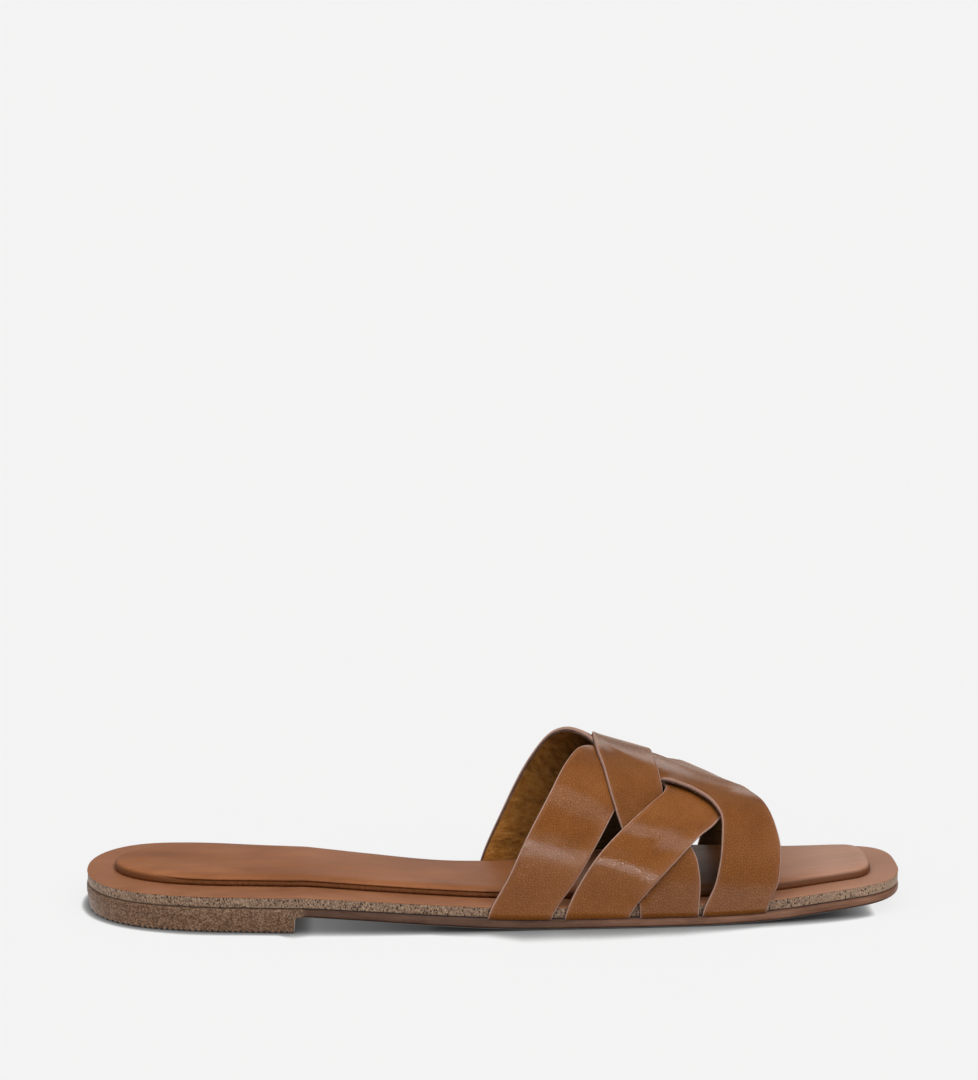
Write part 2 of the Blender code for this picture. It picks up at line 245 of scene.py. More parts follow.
# puts a grid of points into a mesh object: one quad for each cell, the grid joined to itself where an axis is
# a ring, doubles merged, faces turned outwards by the sign of the volume, lengths in centimetres as the UV map
def gridPiece(name, points, ringAlong, ringAcross, materials, slotOfCell, wearAndShade=None):
    rows, columns = points.shape[:2]
    i = np.arange(rows if ringAlong else rows - 1)[:, None]
    j = np.arange(columns if ringAcross else columns - 1)[None, :]
    i2 = (i + 1) % rows
    j2 = (j + 1) % columns
    quads = np.stack([i * columns + j, i2 * columns + j, i2 * columns + j2, i * columns + j2], -1)
    grown = np.concatenate([points, points[:1]], 0) if ringAlong else points
    grown = np.concatenate([grown, grown[:, :1]], 1) if ringAcross else grown
    uAll = walked(grown, 0) / centimetre
    vAll = walked(grown, 1) / centimetre
    uAll = np.broadcast_to(uAll.mean(1, keepdims=True), uAll.shape)
    vAll = vAll - vAll[:, -1:] / 2
    corners = [(0, 0), (1, 0), (1, 1), (0, 1)]
    high, wide = quads.shape[:2]
    uv = np.stack([np.stack([a[di:di + high, dj:dj + wide] for di, dj in corners], -1) for a in (uAll, vAll)], -1)
    place = (points.reshape(-1, 3) - np.array([middleX, middleY, 0.0])) * mm
    quads = quads.reshape(-1, 4)
    uv = uv.reshape(-1, 4, 2)
    p = place[quads]
    volume = np.einsum("ij,ij->i", p[:, 0], np.cross(p[:, 1], p[:, 2])).sum()
    volume += np.einsum("ij,ij->i", p[:, 0], np.cross(p[:, 2], p[:, 3])).sum()
    if volume < 0:
        quads = quads[:, ::-1]
        uv = uv[:, ::-1]
    mesh = bpy.data.meshes.new(name)
    mesh.from_pydata(place.tolist(), [], quads.tolist())
    mesh.uv_layers.new(name="lengths").data.foreach_set("uv", uv.reshape(-1))
    slots = np.broadcast_to(np.asarray(slotOfCell, np.int32), (high, wide)).reshape(-1)
    mesh.polygons.foreach_set("material_index", np.ascontiguousarray(slots))
    if wearAndShade is not None:
        wornAndShaded = mesh.attributes.new("wearAndShade", "FLOAT", "POINT")
        wornAndShaded.data.foreach_set("value", np.broadcast_to(wearAndShade, (rows, columns)).reshape(-1).astype(np.float32))
    work = bmesh.new()
    work.from_mesh(mesh)
    bmesh.ops.remove_doubles(work, verts=work.verts, dist=weld["points"])
    bmesh.ops.dissolve_degenerate(work, edges=work.edges, dist=weld["edges"])
    work.to_mesh(mesh)
    work.free()
    mesh.shade_smooth()
    for material in materials:
        mesh.materials.append(material)
    piece = bpy.data.objects.new(name, mesh)
    bpy.context.scene.collection.objects.link(piece)
    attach(piece, "root")
    print(name, len(mesh.polygons), "faces")
    return piece


# a layer of the sole: a profile of outward steps and heights carried round the plan loop, closed below and
# above by rows that draw in to the middle between facing edge points, the top row raised by a crown
def layerGrid(loop, outward, level, capRows, crown=0.0):
    count = len(loop)
    out = loopNormals(loop)
    edge = loop[:, None, :] + out[:, None, :] * outward[..., None]
    facing = (-np.arange(count)) % count
    lower = (edge[:, :1] + edge[facing, :1]) / 2
    upper = (edge[:, -1:] + edge[facing, -1:]) / 2
    draw = np.linspace(0, 1, capRows + 1)[1:]
    under = edge[:, :1] + (lower - edge[:, :1]) * draw[::-1][None, :, None]
    over = edge[:, -1:] + (upper - edge[:, -1:]) * draw[None, :, None]
    plan = np.concatenate([under, edge, over], 1)
    flat = np.repeat(level[:, :1], capRows, 1)
    raised = level[:, -1:] + crown * (1 - (1 - draw) ** 2)[None, :]
    height = np.concatenate([flat, level, raised], 1)
    return np.concatenate([plan, height[..., None]], -1)


# colours as the eye reads them, 0 to 255, to linear light
def tone(red, green, blue):
    channel = np.array([red, green, blue]) / 255
    linear = np.where(channel <= 0.04045, channel / 12.92, ((channel + 0.055) / 1.055) ** 2.4)
    return (*[float(c) for c in linear], 1.0)


# a material, its node tree and its shader
def newMaterial(name):
    material = bpy.data.materials.new(name)
    material.use_nodes = True
    tree = material.node_tree
    return material, tree, tree.nodes["Principled BSDF"]


# sets inputs of a node by name or number, each to a value or to what another node gives out
def setInputs(node, inputs):
    for key, value in inputs.items():
        if isinstance(value, bpy.types.NodeSocket):
            node.id_data.links.new(value, node.inputs[key])
        else:
            node.inputs[key].default_value = value


# a node with its settings and its inputs
def addNode(tree, kind, inputs=None, **settings):
    made = tree.nodes.new("ShaderNode" + kind)
    for key, value in settings.items():
        setattr(made, key, value)
    setInputs(made, inputs or {})
    return made


# colours or greys along a 0 to 1 value
def addRamp(value, stops):
    ramp = addNode(value.id_data, "ValToRGB", {"Fac": value})
    band = ramp.color_ramp
    while len(band.elements) < len(stops):
        band.elements.new(0.5)
    for element, (position, colour) in zip(band.elements, stops):
        element.position = position
        element.color = colour if not isinstance(colour, float) else (colour, colour, colour, 1.0)
    return ramp.outputs["Color"]


# deep, mid and pale of a look along a value, mid at its middle
def addTones(value, look):
    low, high = look["tones"]
    return addRamp(value, [(low, look["deep"]), (0.5, look["mid"]), (high, look["pale"])])


# two colours mixed by a factor, in one of the ways that colours blend
def addMix(factor, first, second, blend="MIX"):
    inputs = {0: factor, 6: first, 7: second}
    return addNode(first.id_data, "Mix", inputs, data_type="RGBA", blend_type=blend).outputs[2]


# a colour times the greys along a value, as far as the strength goes
def addShade(base, value, strength, stops):
    return addMix(strength, base, addRamp(value, stops), "MULTIPLY")


# arithmetic on two values, at least one of them given out by a node
def addMath(operation, first, second):
    tree = (second if isinstance(first, float) else first).id_data
    return addNode(tree, "Math", {0: first, 1: second}, operation=operation).outputs[0]


# how far a value is on its way from low to high, 0 to 1
def addShare(value, low, high):
    return addNode(value.id_data, "MapRange", {0: value, 1: low, 2: high, 3: 0.0, 4: 1.0}).outputs[0]


# coordinates times a stretch, so that a pattern repeats that often in a unit
def addStretch(where, stretch):
    return addNode(where.id_data, "Mapping", {"Vector": where, "Scale": stretch}).outputs[0]


# noise on stretched coordinates, read as one grey value
def addNoise(where, stretch, detail, roughness):
    inputs = {"Vector": addStretch(where, stretch), "Scale": 1.0, "Detail": detail, "Roughness": roughness}
    return addNode(where.id_data, "TexNoise", inputs).outputs["Fac"]


# the noises of a look in the order that they are written there: stretch, detail and roughness
def addNoises(where, noises):
    return [addNoise(where, *noise) for noise in noises.values()]


# cells on stretched coordinates; returns the node, whose distance and colour are read
def addCells(where, stretch, feature="F1", flat="3D"):
    inputs = {"Vector": addStretch(where, stretch), "Scale": 1.0}
    return addNode(where.id_data, "TexVoronoi", inputs, feature=feature, voronoi_dimensions=flat)


# one of the three random values of a cell, counted from 0
def cellPick(cells, which):
    return addNode(cells.id_data, "SeparateColor", {0: cells.outputs["Color"]}).outputs[which]


# bumps one over another: grey heights, and for each its strength and its depth in metres
def addBumps(shader, heights, bumps):
    below = {}
    for height, (strength, depth) in zip(heights, bumps):
        inputs = {"Height": height, "Strength": strength, "Distance": depth, **below}
        below = {"Normal": addNode(shader.id_data, "Bump", inputs).outputs[0]}
    setInputs(shader, below)


# centimetres along and across a piece's own surface
def lengthsOf(tree):
    return addNode(tree, "UVMap", uv_map="lengths").outputs[0]


# place on the part itself, in metres
def placeOf(tree):
    return addNode(tree, "TexCoord").outputs["Object"]


# place from heel to toe alone
def alongOf(tree):
    return addNode(tree, "SeparateXYZ", {0: placeOf(tree)}).outputs[0]


# how far each point is worn on the straps and darkened by painted shade on outsole and pad, 0 to 1
def wearAndShadeOf(tree):
    return addNode(tree, "Attribute", attribute_name="wearAndShade", attribute_type="GEOMETRY").outputs["Fac"]


# stations turned into the part's own length
def stationPlace(station):
    return (station - middleX) * mm


# greys by station
def addStations(tree, stops):
    length = lastShape["length"]
    share = addShare(alongOf(tree), stationPlace(0.0), stationPlace(length))
    return addRamp(share, [(station / length, grey) for station, grey in stops])


# in every look a noise is its stretch, its detail and how rough the detail is, a shade is its strength and its
# greys, gloss is roughness along a noise, shine the specular level, and a bump its strength and depth in metres

# tan strap leather: small flat grains with fine dark valleys between them, soft clouds of tone, paler by the
# cut edges; stretches are to the centimetre, along and across a strap
strapLook = {
    "deep": tone(130, 76, 33),
    "mid": tone(143, 86, 39),
    "pale": tone(152, 94, 47),
    "tones": (0.3, 0.74),
    "wornAndShaded": tone(166, 118, 95),
    "wornBy": [(0.3, 0.3), (0.7, 0.7)],  # how far the edges are worn, by the creases
    "noise": {
        "cloud": ((0.5, 0.6, 1.0), 4.0, 0.55),
        "fine": ((34.0, 34.0, 1.0), 3.0, 0.6),
        "crease": ((3.2, 4.6, 1.0), 3.0, 0.55),
    },
    "waver": (11.0, 3.0, (0.09, 0.09, 0.0)),  # what bends the cells: scale, detail and reach
    "coarseCells": (11.0, 13.2, 1.0),
    "smallCells": (25.3, 23.1, 1.0),
    "coarseTop": [(0.0, 0.0), (0.1, 0.4), (0.32, 1.0)],  # from the valley up to the flat of a grain
    "smallTop": (0.5, [(0.0, 0.2), (0.28, 1.0)]),
    "fineShade": (0.6, [(0.3, 0.8), (0.7, 1.12)]),
    "grainShade": (0.8, [(0.0, 0.58), (0.7, 1.1)]),
    "gloss": [(0.3, 0.1), (0.75, 0.15)],
    "shine": [(0.1, 0.06), (0.6, 0.48)],  # by the grains
    "bumps": [(0.04, 0.0003), (0.17, 0.00006), (0.06, 0.00004)],  # of creases, grains and the fine noise
}


# tones along the clouds, times the greys of the fine noise and the grains, mixed to the worn tone by the edges
def strapLeather():
    material, tree, shader = newMaterial("strapLeather")
    look = strapLook
    uv = lengthsOf(tree)
    cloud, fine, crease = addNoises(uv, look["noise"])
    scale, detail, reach = look["waver"]
    waver = addNode(tree, "TexNoise", {"Vector": uv, "Scale": scale, "Detail": detail}).outputs["Color"]
    bent = addNode(tree, "VectorMath", {0: waver, 1: reach, 2: uv}, operation="MULTIPLY_ADD").outputs[0]
    coarse, small = [addCells(bent, look[key], "DISTANCE_TO_EDGE", "2D").outputs["Distance"]
                     for key in ("coarseCells", "smallCells")]
    grain = addShade(addRamp(coarse, look["coarseTop"]), small, *look["smallTop"])
    base = addShade(addTones(cloud, look), fine, *look["fineShade"])
    base = addShade(base, grain, *look["grainShade"])
    wornAndShaded = addMath("MULTIPLY", wearAndShadeOf(tree), addRamp(crease, look["wornBy"]))
    setInputs(shader, {
        "Base Color": addMix(wornAndShaded, base, look["wornAndShaded"]),
        "Roughness": addRamp(crease, look["gloss"]),
        "Specular IOR Level": addRamp(grain, look["shine"]),
    })
    addBumps(shader, (crease, grain, fine), look["bumps"])
    return material


# cut edge of a strap: pale raw leather over a greyer lining, streaked along the cut
edgeLook = {
    "leather": tone(194, 156, 138),
    "lining": tone(74, 50, 40),
    "shade": tone(180, 140, 120),
    "streaks": (0.3, 0.5),  # values of the streak noise between which the shade gives way
    "noise": {
        "streak": ((2.5, 60.0, 1.0), 3.0, 0.6),
        "fuzz": ((40.0, 60.0, 1.0), 2.0, 0.6),
    },
    "fuzzShade": (0.5, [(0.3, 0.8), (0.7, 1.1)]),
    "gloss": [(0.2, 0.55), (0.8, 0.75)],
    "bumps": [(0.3, 0.0002), (0.3, 0.0001)],  # of streaks and fuzz
}


# shade giving way to the body along the streaks, times the greys of the fuzz
def cutEdge(name, body):
    material, tree, shader = newMaterial(name)
    look = edgeLook
    streak, fuzz = addNoises(lengthsOf(tree), look["noise"])
    low, high = look["streaks"]
    base = addRamp(streak, [(low, look["shade"]), (high, body)])
    base = addShade(base, fuzz, *look["fuzzShade"])
    setInputs(shader, {"Base Color": base, "Roughness": addRamp(fuzz, look["gloss"])})
    addBumps(shader, (streak, fuzz), look["bumps"])
    return material


# lining: golden brown, soft, gathered into low ripples across the strap, which run along the foot
liningLook = {
    "deep": tone(172, 112, 44),
    "mid": tone(206, 142, 66),
    "pale": tone(224, 164, 88),
    "tones": (0.3, 0.7),
    "noise": {
        "fold": ((6.5, 3.4, 1.0), 4.0, 0.62),
        "fine": ((30.0, 22.0, 1.0), 3.0, 0.6),
        "ripple": ((3.4, 1.2, 1.0), 2.0, 0.5),
    },
    "fineShade": (0.5, [(0.3, 0.92), (0.7, 1.06)]),
    "ripples": [(0.34, 0.66), (0.5, 1.0), (0.68, 1.14)],  # painted shade in the valleys, painted light on the crests
    "rippleShade": 0.8,
    # painted shade in the hollow of the straps, fading out towards both openings, by station
    "hollow": [(122.0, 1.0), (130.0, 0.95), (138.0, 0.66), (149.0, 0.45), (158.0, 0.08), (200.0, 0.05),
               (216.0, 0.4)],
    "gloss": [(0.2, 0.5), (0.8, 0.66)],
    "shine": 0.2,
    "bumps": [(0.8, 0.0011), (0.6, 0.0004), (0.4, 0.00015)],  # of folds, ripples and the fine noise
}


# tones along the folds, times the greys of the fine noise and the painted shade of the ripples and the hollow
def liningLeather():
    material, tree, shader = newMaterial("liningLeather")
    look = liningLook
    fold, fine, ripple = addNoises(lengthsOf(tree), look["noise"])
    base = addShade(addTones(fold, look), fine, *look["fineShade"])
    ripples = addRamp(ripple, look["ripples"])
    base = addMix(look["rippleShade"], base, ripples, "MULTIPLY")
    base = addMix(1.0, base, addStations(tree, look["hollow"]), "MULTIPLY")
    gloss = addRamp(fine, look["gloss"])
    setInputs(shader, {"Base Color": base, "Roughness": gloss, "Specular IOR Level": look["shine"]})
    addBumps(shader, (fold, ripples, fine), look["bumps"])
    return material


# covering of the sole's rim: tan, matt, fine even grain; stretches are to the metre
rimLook = {
    "deep": tone(154, 99, 66),
    "mid": tone(169, 112, 77),
    "pale": tone(178, 121, 86),
    "tones": (0.3, 0.75),
    "toe": tone(205, 162, 141),  # painted sheen, paler towards the toe
    "toeFrom": [(205.0, 0.0), (236.0, 0.42)],
    "noise": {
        "cloud": ((60.0, 90.0, 60.0), 4.0, 0.55),
        "fine": ((2600.0, 2600.0, 2600.0), 3.0, 0.6),
    },
    "fineShade": (0.5, [(0.3, 0.88), (0.7, 1.06)]),
    "gloss": [(0.25, 0.46), (0.75, 0.6)],
    "shine": 0.28,
    "bumps": [(0.25, 0.00008)],  # of the fine noise
}


# tones along the clouds, mixed to the toe's painted sheen by station, times the greys of the fine noise
def rimLeather():
    material, tree, shader = newMaterial("rimLeather")
    look = rimLook
    cloud, fine = addNoises(placeOf(tree), look["noise"])
    base = addMix(addStations(tree, look["toeFrom"]), addTones(cloud, look), look["toe"])
    base = addShade(base, fine, *look["fineShade"])
    gloss = addRamp(fine, look["gloss"])
    setInputs(shader, {"Base Color": base, "Roughness": gloss, "Specular IOR Level": look["shine"]})
    addBumps(shader, (fine,), look["bumps"])
    return material


# pad leather: like the rim, glossier, with faint streaks along the foot and wrinkles on its rolled side
padLook = {
    "deep": tone(151, 92, 52),
    "mid": tone(166, 104, 63),
    "pale": tone(178, 116, 75),
    "tones": (0.3, 0.75),
    # tone of the painted shade on the pad's lower side and roll
    "roll": tone(99, 53, 14),
    "toe": tone(212, 168, 146),  # painted sheen, paler towards the toe
    "toeFrom": [(205.0, 0.0), (232.0, 0.6)],
    "hollow": [(150.0, 1.0), (162.0, 0.4), (200.0, 0.4), (216.0, 1.0)],  # painted shade under the straps, by station
    "wrinkled": [(20.0, 0.1), (45.0, 1.0), (150.0, 1.0), (185.0, 0.05)],  # how far its roll is wrinkled
    "noise": {
        "streak": ((30.0, 520.0, 80.0), 5.0, 0.62),
        "cloud": ((45.0, 70.0, 45.0), 3.0, 0.5),
        "fine": ((2200.0, 2200.0, 2200.0), 3.0, 0.6),
    },
    "pucker": ((12.0, 3.0, 1.0), 4.0, 0.65),  # noise of the wrinkles, to the centimetre round and across the pad
    "puckerLift": [(0.3, 0.0), (0.7, 0.3)],  # painted highlight: how far a wrinkle lifts out of the roll's painted shade
    "streakShade": (0.65, [(0.32, 0.8), (0.68, 1.13)]),
    "gloss": [(0.25, 0.36), (0.75, 0.5)],
    "shine": 0.26,
    "bumps": [(0.7, 0.0006), (0.2, 0.0003), (0.22, 0.00008)],  # of wrinkles, streaks and the fine noise
}


# tones along the clouds, mixed to the toe's painted sheen by station, times the greys of streaks and of the
# painted shade under the straps, then mixed to the roll's painted shade less the painted highlights of its wrinkles
def padLeather():
    material, tree, shader = newMaterial("padLeather")
    look = padLook
    streak, cloud, fine = addNoises(placeOf(tree), look["noise"])
    pucker = addNoise(lengthsOf(tree), *look["pucker"])
    base = addMix(addStations(tree, look["toeFrom"]), addTones(cloud, look), look["toe"])
    base = addShade(base, streak, *look["streakShade"])
    base = addMix(1.0, base, addStations(tree, look["hollow"]), "MULTIPLY")
    roll = wearAndShadeOf(tree)
    creased = addMath("MULTIPLY", roll, addStations(tree, look["wrinkled"]))
    lift = addMath("MULTIPLY", creased, addRamp(pucker, look["puckerLift"]))
    base = addMix(addMath("SUBTRACT", roll, lift), base, look["roll"])
    gloss = addRamp(streak, look["gloss"])
    setInputs(shader, {"Base Color": base, "Roughness": gloss, "Specular IOR Level": look["shine"]})
    addBumps(shader, (addMath("MULTIPLY", pucker, creased), streak, fine), look["bumps"])
    return material


# matt bloom on the dull sides of midsole, heel and outsole
sideBloom = {"Specular IOR Level": 0.3, "Sheen Weight": 0.35, "Sheen Roughness": 0.35}

# speckled board of the midsole: grey tan with small dark upright flecks and pale grains
boardLook = {
    "deep": tone(104, 80, 64),
    "mid": tone(150, 120, 96),
    "pale": tone(196, 168, 142),
    "tones": (0.32, 0.68),
    "fleck": tone(40, 25, 18),
    "fleckCells": (1750.0, 1750.0, 1085.0),  # cells in a metre
    "fleckReach": (0.62, 0.12),  # a fleck reaches this share of its cell's random value, less the second number
    "fleckDark": 0.92,
    "grainCells": (2975.0, 2975.0, 2625.0),
    "grainShade": (0.7, [(0.1, 0.62), (0.9, 1.2)]),
    "rough": ((1925.0, 1925.0, 1400.0), 3.0, 0.65),
    "toeFrom": [(214.0, 0.0), (246.0, 0.4)],  # painted sheen, paler towards the toe
    "gloss": [(0.25, 0.4), (0.75, 0.6)],
    "bumps": [(0.3, 0.0001), (0.3, 0.00012)],  # of flecks and the rough noise
}


# tones along the rough noise, times a random grey for each grain, paler to the toe by a painted sheen; a fleck
# is where the distance from the middle of a cell is less than the cell's own random reach
def speckledBoard():
    material, tree, shader = newMaterial("speckledBoard")
    look = boardLook
    where = placeOf(tree)
    cells = addCells(where, look["fleckCells"])
    grains = addCells(where, look["grainCells"])
    rough = addNoise(where, *look["rough"])
    share, less = look["fleckReach"]
    reach = addMath("SUBTRACT", addMath("MULTIPLY", cellPick(cells, 0), share), less)
    fleck = addMath("LESS_THAN", cells.outputs["Distance"], reach)
    base = addShade(addTones(rough, look), cellPick(grains, 1), *look["grainShade"])
    base = addMix(addStations(tree, look["toeFrom"]), base, look["pale"])
    base = addMix(addMath("MULTIPLY", fleck, look["fleckDark"]), base, look["fleck"])
    setInputs(shader, {"Base Color": base, "Roughness": addRamp(rough, look["gloss"]), **sideBloom})
    addBumps(shader, (addMath("SUBTRACT", 1.0, fleck), rough), look["bumps"])
    return material


# stacked heel and outsole: fine brown grain at the heel, smooth burnished brown edge from the breast forward
heelLook = {
    "deep": tone(92, 64, 45),
    "mid": tone(125, 93, 69),
    "pale": tone(160, 127, 102),
    "tones": (0.08, 0.95),
    "grainCells": (2700.0, 2700.0, 2700.0),  # cells in a metre
    "rough": ((2430.0, 2430.0, 2430.0), 3.0, 0.7),
    "roughShade": (0.4, [(0.36, 0.68), (0.64, 1.12)]),
}
outsoleLook = {
    "deep": tone(112, 74, 54),
    "mid": tone(134, 92, 69),
    "pale": tone(151, 109, 86),
    "tones": (0.3, 0.75),
    "cloud": ((120.0, 120.0, 500.0), 4.0, 0.55),
    "wornAndShaded": tone(40, 22, 14),  # painted contact shadow along the ground edge
    "breast": (67.0, 69.0),  # stations where the grain gives way to the smooth edge
    "arch": [(70.0, 0.44), (140.0, 0.5), (180.0, 0.9), (215.0, 1.0)],  # painted shade under the arch, by station
    "gloss": [(0.3, 0.4), (0.7, 0.56)],
    "bumps": [(0.4, 0.00016), (0.2, 0.0003)],  # of the heel's grain and the outsole's clouds
}


# the heel's tones by the random value of each grain, the outsole's along its clouds with painted shade under
# the arch and a painted contact shadow along the ground edge, one giving way to the other at the breast
def soleStack():
    material, tree, shader = newMaterial("soleStack")
    where = placeOf(tree)
    rough = addNoise(where, *heelLook["rough"])
    grain = addTones(cellPick(addCells(where, heelLook["grainCells"]), 0), heelLook)
    grain = addShade(grain, rough, *heelLook["roughShade"])
    cloud = addNoise(where, *outsoleLook["cloud"])
    plain = addMix(1.0, addTones(cloud, outsoleLook), addStations(tree, outsoleLook["arch"]), "MULTIPLY")
    plain = addMix(wearAndShadeOf(tree), plain, outsoleLook["wornAndShaded"])
    front = addShare(alongOf(tree), *[stationPlace(station) for station in outsoleLook["breast"]])
    gloss = addRamp(cloud, outsoleLook["gloss"])
    setInputs(shader, {"Base Color": addMix(front, grain, plain), "Roughness": gloss, **sideBloom})
    grainDepth = addMath("MULTIPLY", rough, addMath("SUBTRACT", 1.0, front))
    addBumps(shader, (grainDepth, cloud), outsoleLook["bumps"])
    return material


strapOuter = strapLeather()
strapEdge = cutEdge("cutLeather", edgeLook["leather"])
strapEdgeLining = cutEdge("cutLining", edgeLook["lining"])
strapInner = liningLeather()
rimCover = rimLeather()
padCover = padLeather()
board = speckledBoard()
stack = soleStack()
print("materials made")

# outsole: side with rounded edges, one faint parting line round the back of the heel
outsoleShape = {
    "edge": 0.8,  # rounding of the upper edge
    "under": 1.0,  # rounding of the lower edge, from the breast forward
    "underFrom": (66.5, 70.0),  # stations where it grows in
    "underHeel": 0.04,  # share of it over the heel
    "wornAndShaded": (0.35, 0.95),  # heights between which the painted contact shadow of the ground edge fades out
    "line": 1.2,  # parting line below the top
    "lineDepth": 0.14,
    "lineWidth": 0.12,
    "lineEnds": (14.0, 44.0),  # stations where it fades out
    "roundSteps": 6,
    "sideSteps": 26,
    "capRows": 4,
}


# profile of the outsole's side: lower rounding, plain side with the parting line as a dip, upper rounding
def outsoleProfile(station):
    size = outsoleShape
    high = lastShape["outsoleThick"]
    missing, gained = quarterRound(size["roundSteps"])
    grown = size["underHeel"] + (1 - size["underHeel"]) * fade(station, *size["underFrom"])
    lowEdge = size["under"] * grown[:, None]
    share = np.linspace(0, 1, size["sideSteps"])[1:-1]
    sideUp = lowEdge + (high - size["edge"] - lowEdge) * share
    dip = np.exp(-(((high - sideUp) - size["line"]) / size["lineWidth"]) ** 2)
    sideOut = -size["lineDepth"] * dip * (1 - fade(station, *size["lineEnds"]))[:, None]
    ones = np.ones((len(station), 1))
    out = [-lowEdge * missing, sideOut, ones * (-size["edge"] * gained)]
    up = [lowEdge * gained, sideUp, ones * (high - size["edge"] * missing)]
    return np.concatenate(out, 1), np.concatenate(up, 1)


outCaps = outsoleShape["capRows"]
outOut, outUp = outsoleProfile(edgeLoop[:, 0])
outLevel = outsoleUnder(edgeLoop[:, 0])[:, None] + outUp
outGrid = layerGrid(edgeLoop, outOut, outLevel, outCaps)
# painted contact shadow: full at the ground edge and on the underside, none on the top
outShade = 1 - fade(outUp, *outsoleShape["wornAndShaded"])
outShade = np.pad(outShade, ((0, 0), (outCaps, outCaps)), constant_values=((0, 0), (1, 0)))
outsole = gridPiece("outsoleLayer", outGrid, True, False, [stack], 0, outShade)
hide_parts("outsole")

# midsole: speckled side, then the cover's thin edge standing a hair proud and rounding over to the rim
midsoleShape = {
    "lowEdge": 0.3,
    "sideRows": (1.0, 1.7, 2.3),  # heights of the plain rows
    "cover": 0.42,  # thickness of the cover
    "proud": 0.12,
    "lip": 0.04,  # how far the cover's lower edge is drawn back
    "notch": (0.1, 0.03, 0.1),  # under the cover: where it starts and ends below it, and its depth
    "roundOver": 0.36,
    "roundSteps": 6,
    "capRows": 5,
}


# profile of the midsole's side: lower rounding, speckled side, step out to the cover, quarter round to the top
def midsoleProfile():
    size = midsoleShape
    high = lastShape["midsoleThick"]
    missing, gained = quarterRound(size["roundSteps"])
    coverLow = high - size["cover"]
    start, stop, depth = size["notch"]
    side = [(0.0, row) for row in size["sideRows"]] + [(0.0, coverLow - start), (-depth, coverLow - stop)]
    sideOut, sideUp = np.array(side + [(size["proud"] - size["lip"], coverLow)]).T
    out = [-size["lowEdge"] * missing, sideOut, size["proud"] - size["roundOver"] * gained]
    up = [size["lowEdge"] * gained, sideUp, high - size["roundOver"] * missing]
    return np.concatenate(out), np.concatenate(up), len(missing) + len(side)


boardLoop = soleLoop(noLedge, lastShape["steps"])
midOut, midUp, coverRow = midsoleProfile()
midLevel = midsoleUnder(boardLoop[:, 0])[:, None] + midUp[None, :]
midCaps = midsoleShape["capRows"]
midGrid = layerGrid(boardLoop, np.broadcast_to(midOut, midLevel.shape), midLevel, midCaps)
midSlots = (np.arange(midGrid.shape[1] - 1) >= midCaps + coverRow - 1).astype(int)[None, :]
midsole = gridPiece("midsoleBoard", midGrid, True, False, [board, rimCover], midSlots)
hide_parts("midsole")

# pad: crowned cushion; its side is a plain round at both ends and a wrinkled roll with a pressed groove above
# it along the waist
padShape = {
    "heelRim": 8.5,
    "toeRim": 8.6,
    "heelEnd": (36.0, 2.1),
    "toeEnd": (8.0, 3.4),
    "seat": 0.02,  # above the midsole
    "crown": 0.3,
    "rollStart": (16.0, 34.0),  # stations where the roll grows in and dies away
    "rollStop": (128.0, 152.0),
    # the side by the share of the way up it, and where it is then outwards and upwards, plain and rolled
    "walk": np.array([0.0, 0.13, 0.28, 0.4, 0.48, 0.56, 0.7, 0.85, 1.0]),
    "plainOut": np.array([-0.25, 0.1, 0.0, -0.35, -0.8, -1.3, -2.4, -4.2, -6.5]),
    "plainUp": np.array([0.0, 0.75, 1.6, 2.2, 2.55, 2.78, 3.05, 3.22, 3.3]),
    "rollOut": np.array([-0.5, 0.25, -0.1, -1.1, -0.55, -0.75, -1.6, -3.5, -6.5]),
    "rollUp": np.array([0.0, 0.7, 1.35, 1.55, 1.9, 2.4, 2.9, 3.2, 3.3]),
    "pucker": 0.07,
    "puckerAt": (0.26, 0.1),  # share of the way up the side, and how far to both sides of it
    "puckerWaves": ((2.1, 0.4, 1.0), (3.4, 1.9, 0.8), (5.3, 4.1, 0.7), (9.7, 2.2, 0.6)),  # pitch, turn, height
    "toeTight": 0.62,  # how much nearer to the edge the side reaches the top round the toe
    "toeFrom": (222.0, 238.0),
    "tightFrom": 0.35,  # millimetres in from the edge
    "rollShade": (0.42, 0.5),  # shares of the way up between which the painted shade of the roll fades out
    "sideShade": (0.28, 0.55),  # the painted shade of the lower side, the same all round the pad, and how dark
    "sideShadeDepth": 0.92,
    "steps": 460,
    "sideSteps": 40,
    "capRows": 10,
}


# outer and inner edge of the pad: those of the sole less the rim
def padEdges(station):
    return [lastColumn("outline", side, station) - lastColumn("outline", side + "Rim", station)
            for side in ("outer", "inner")]


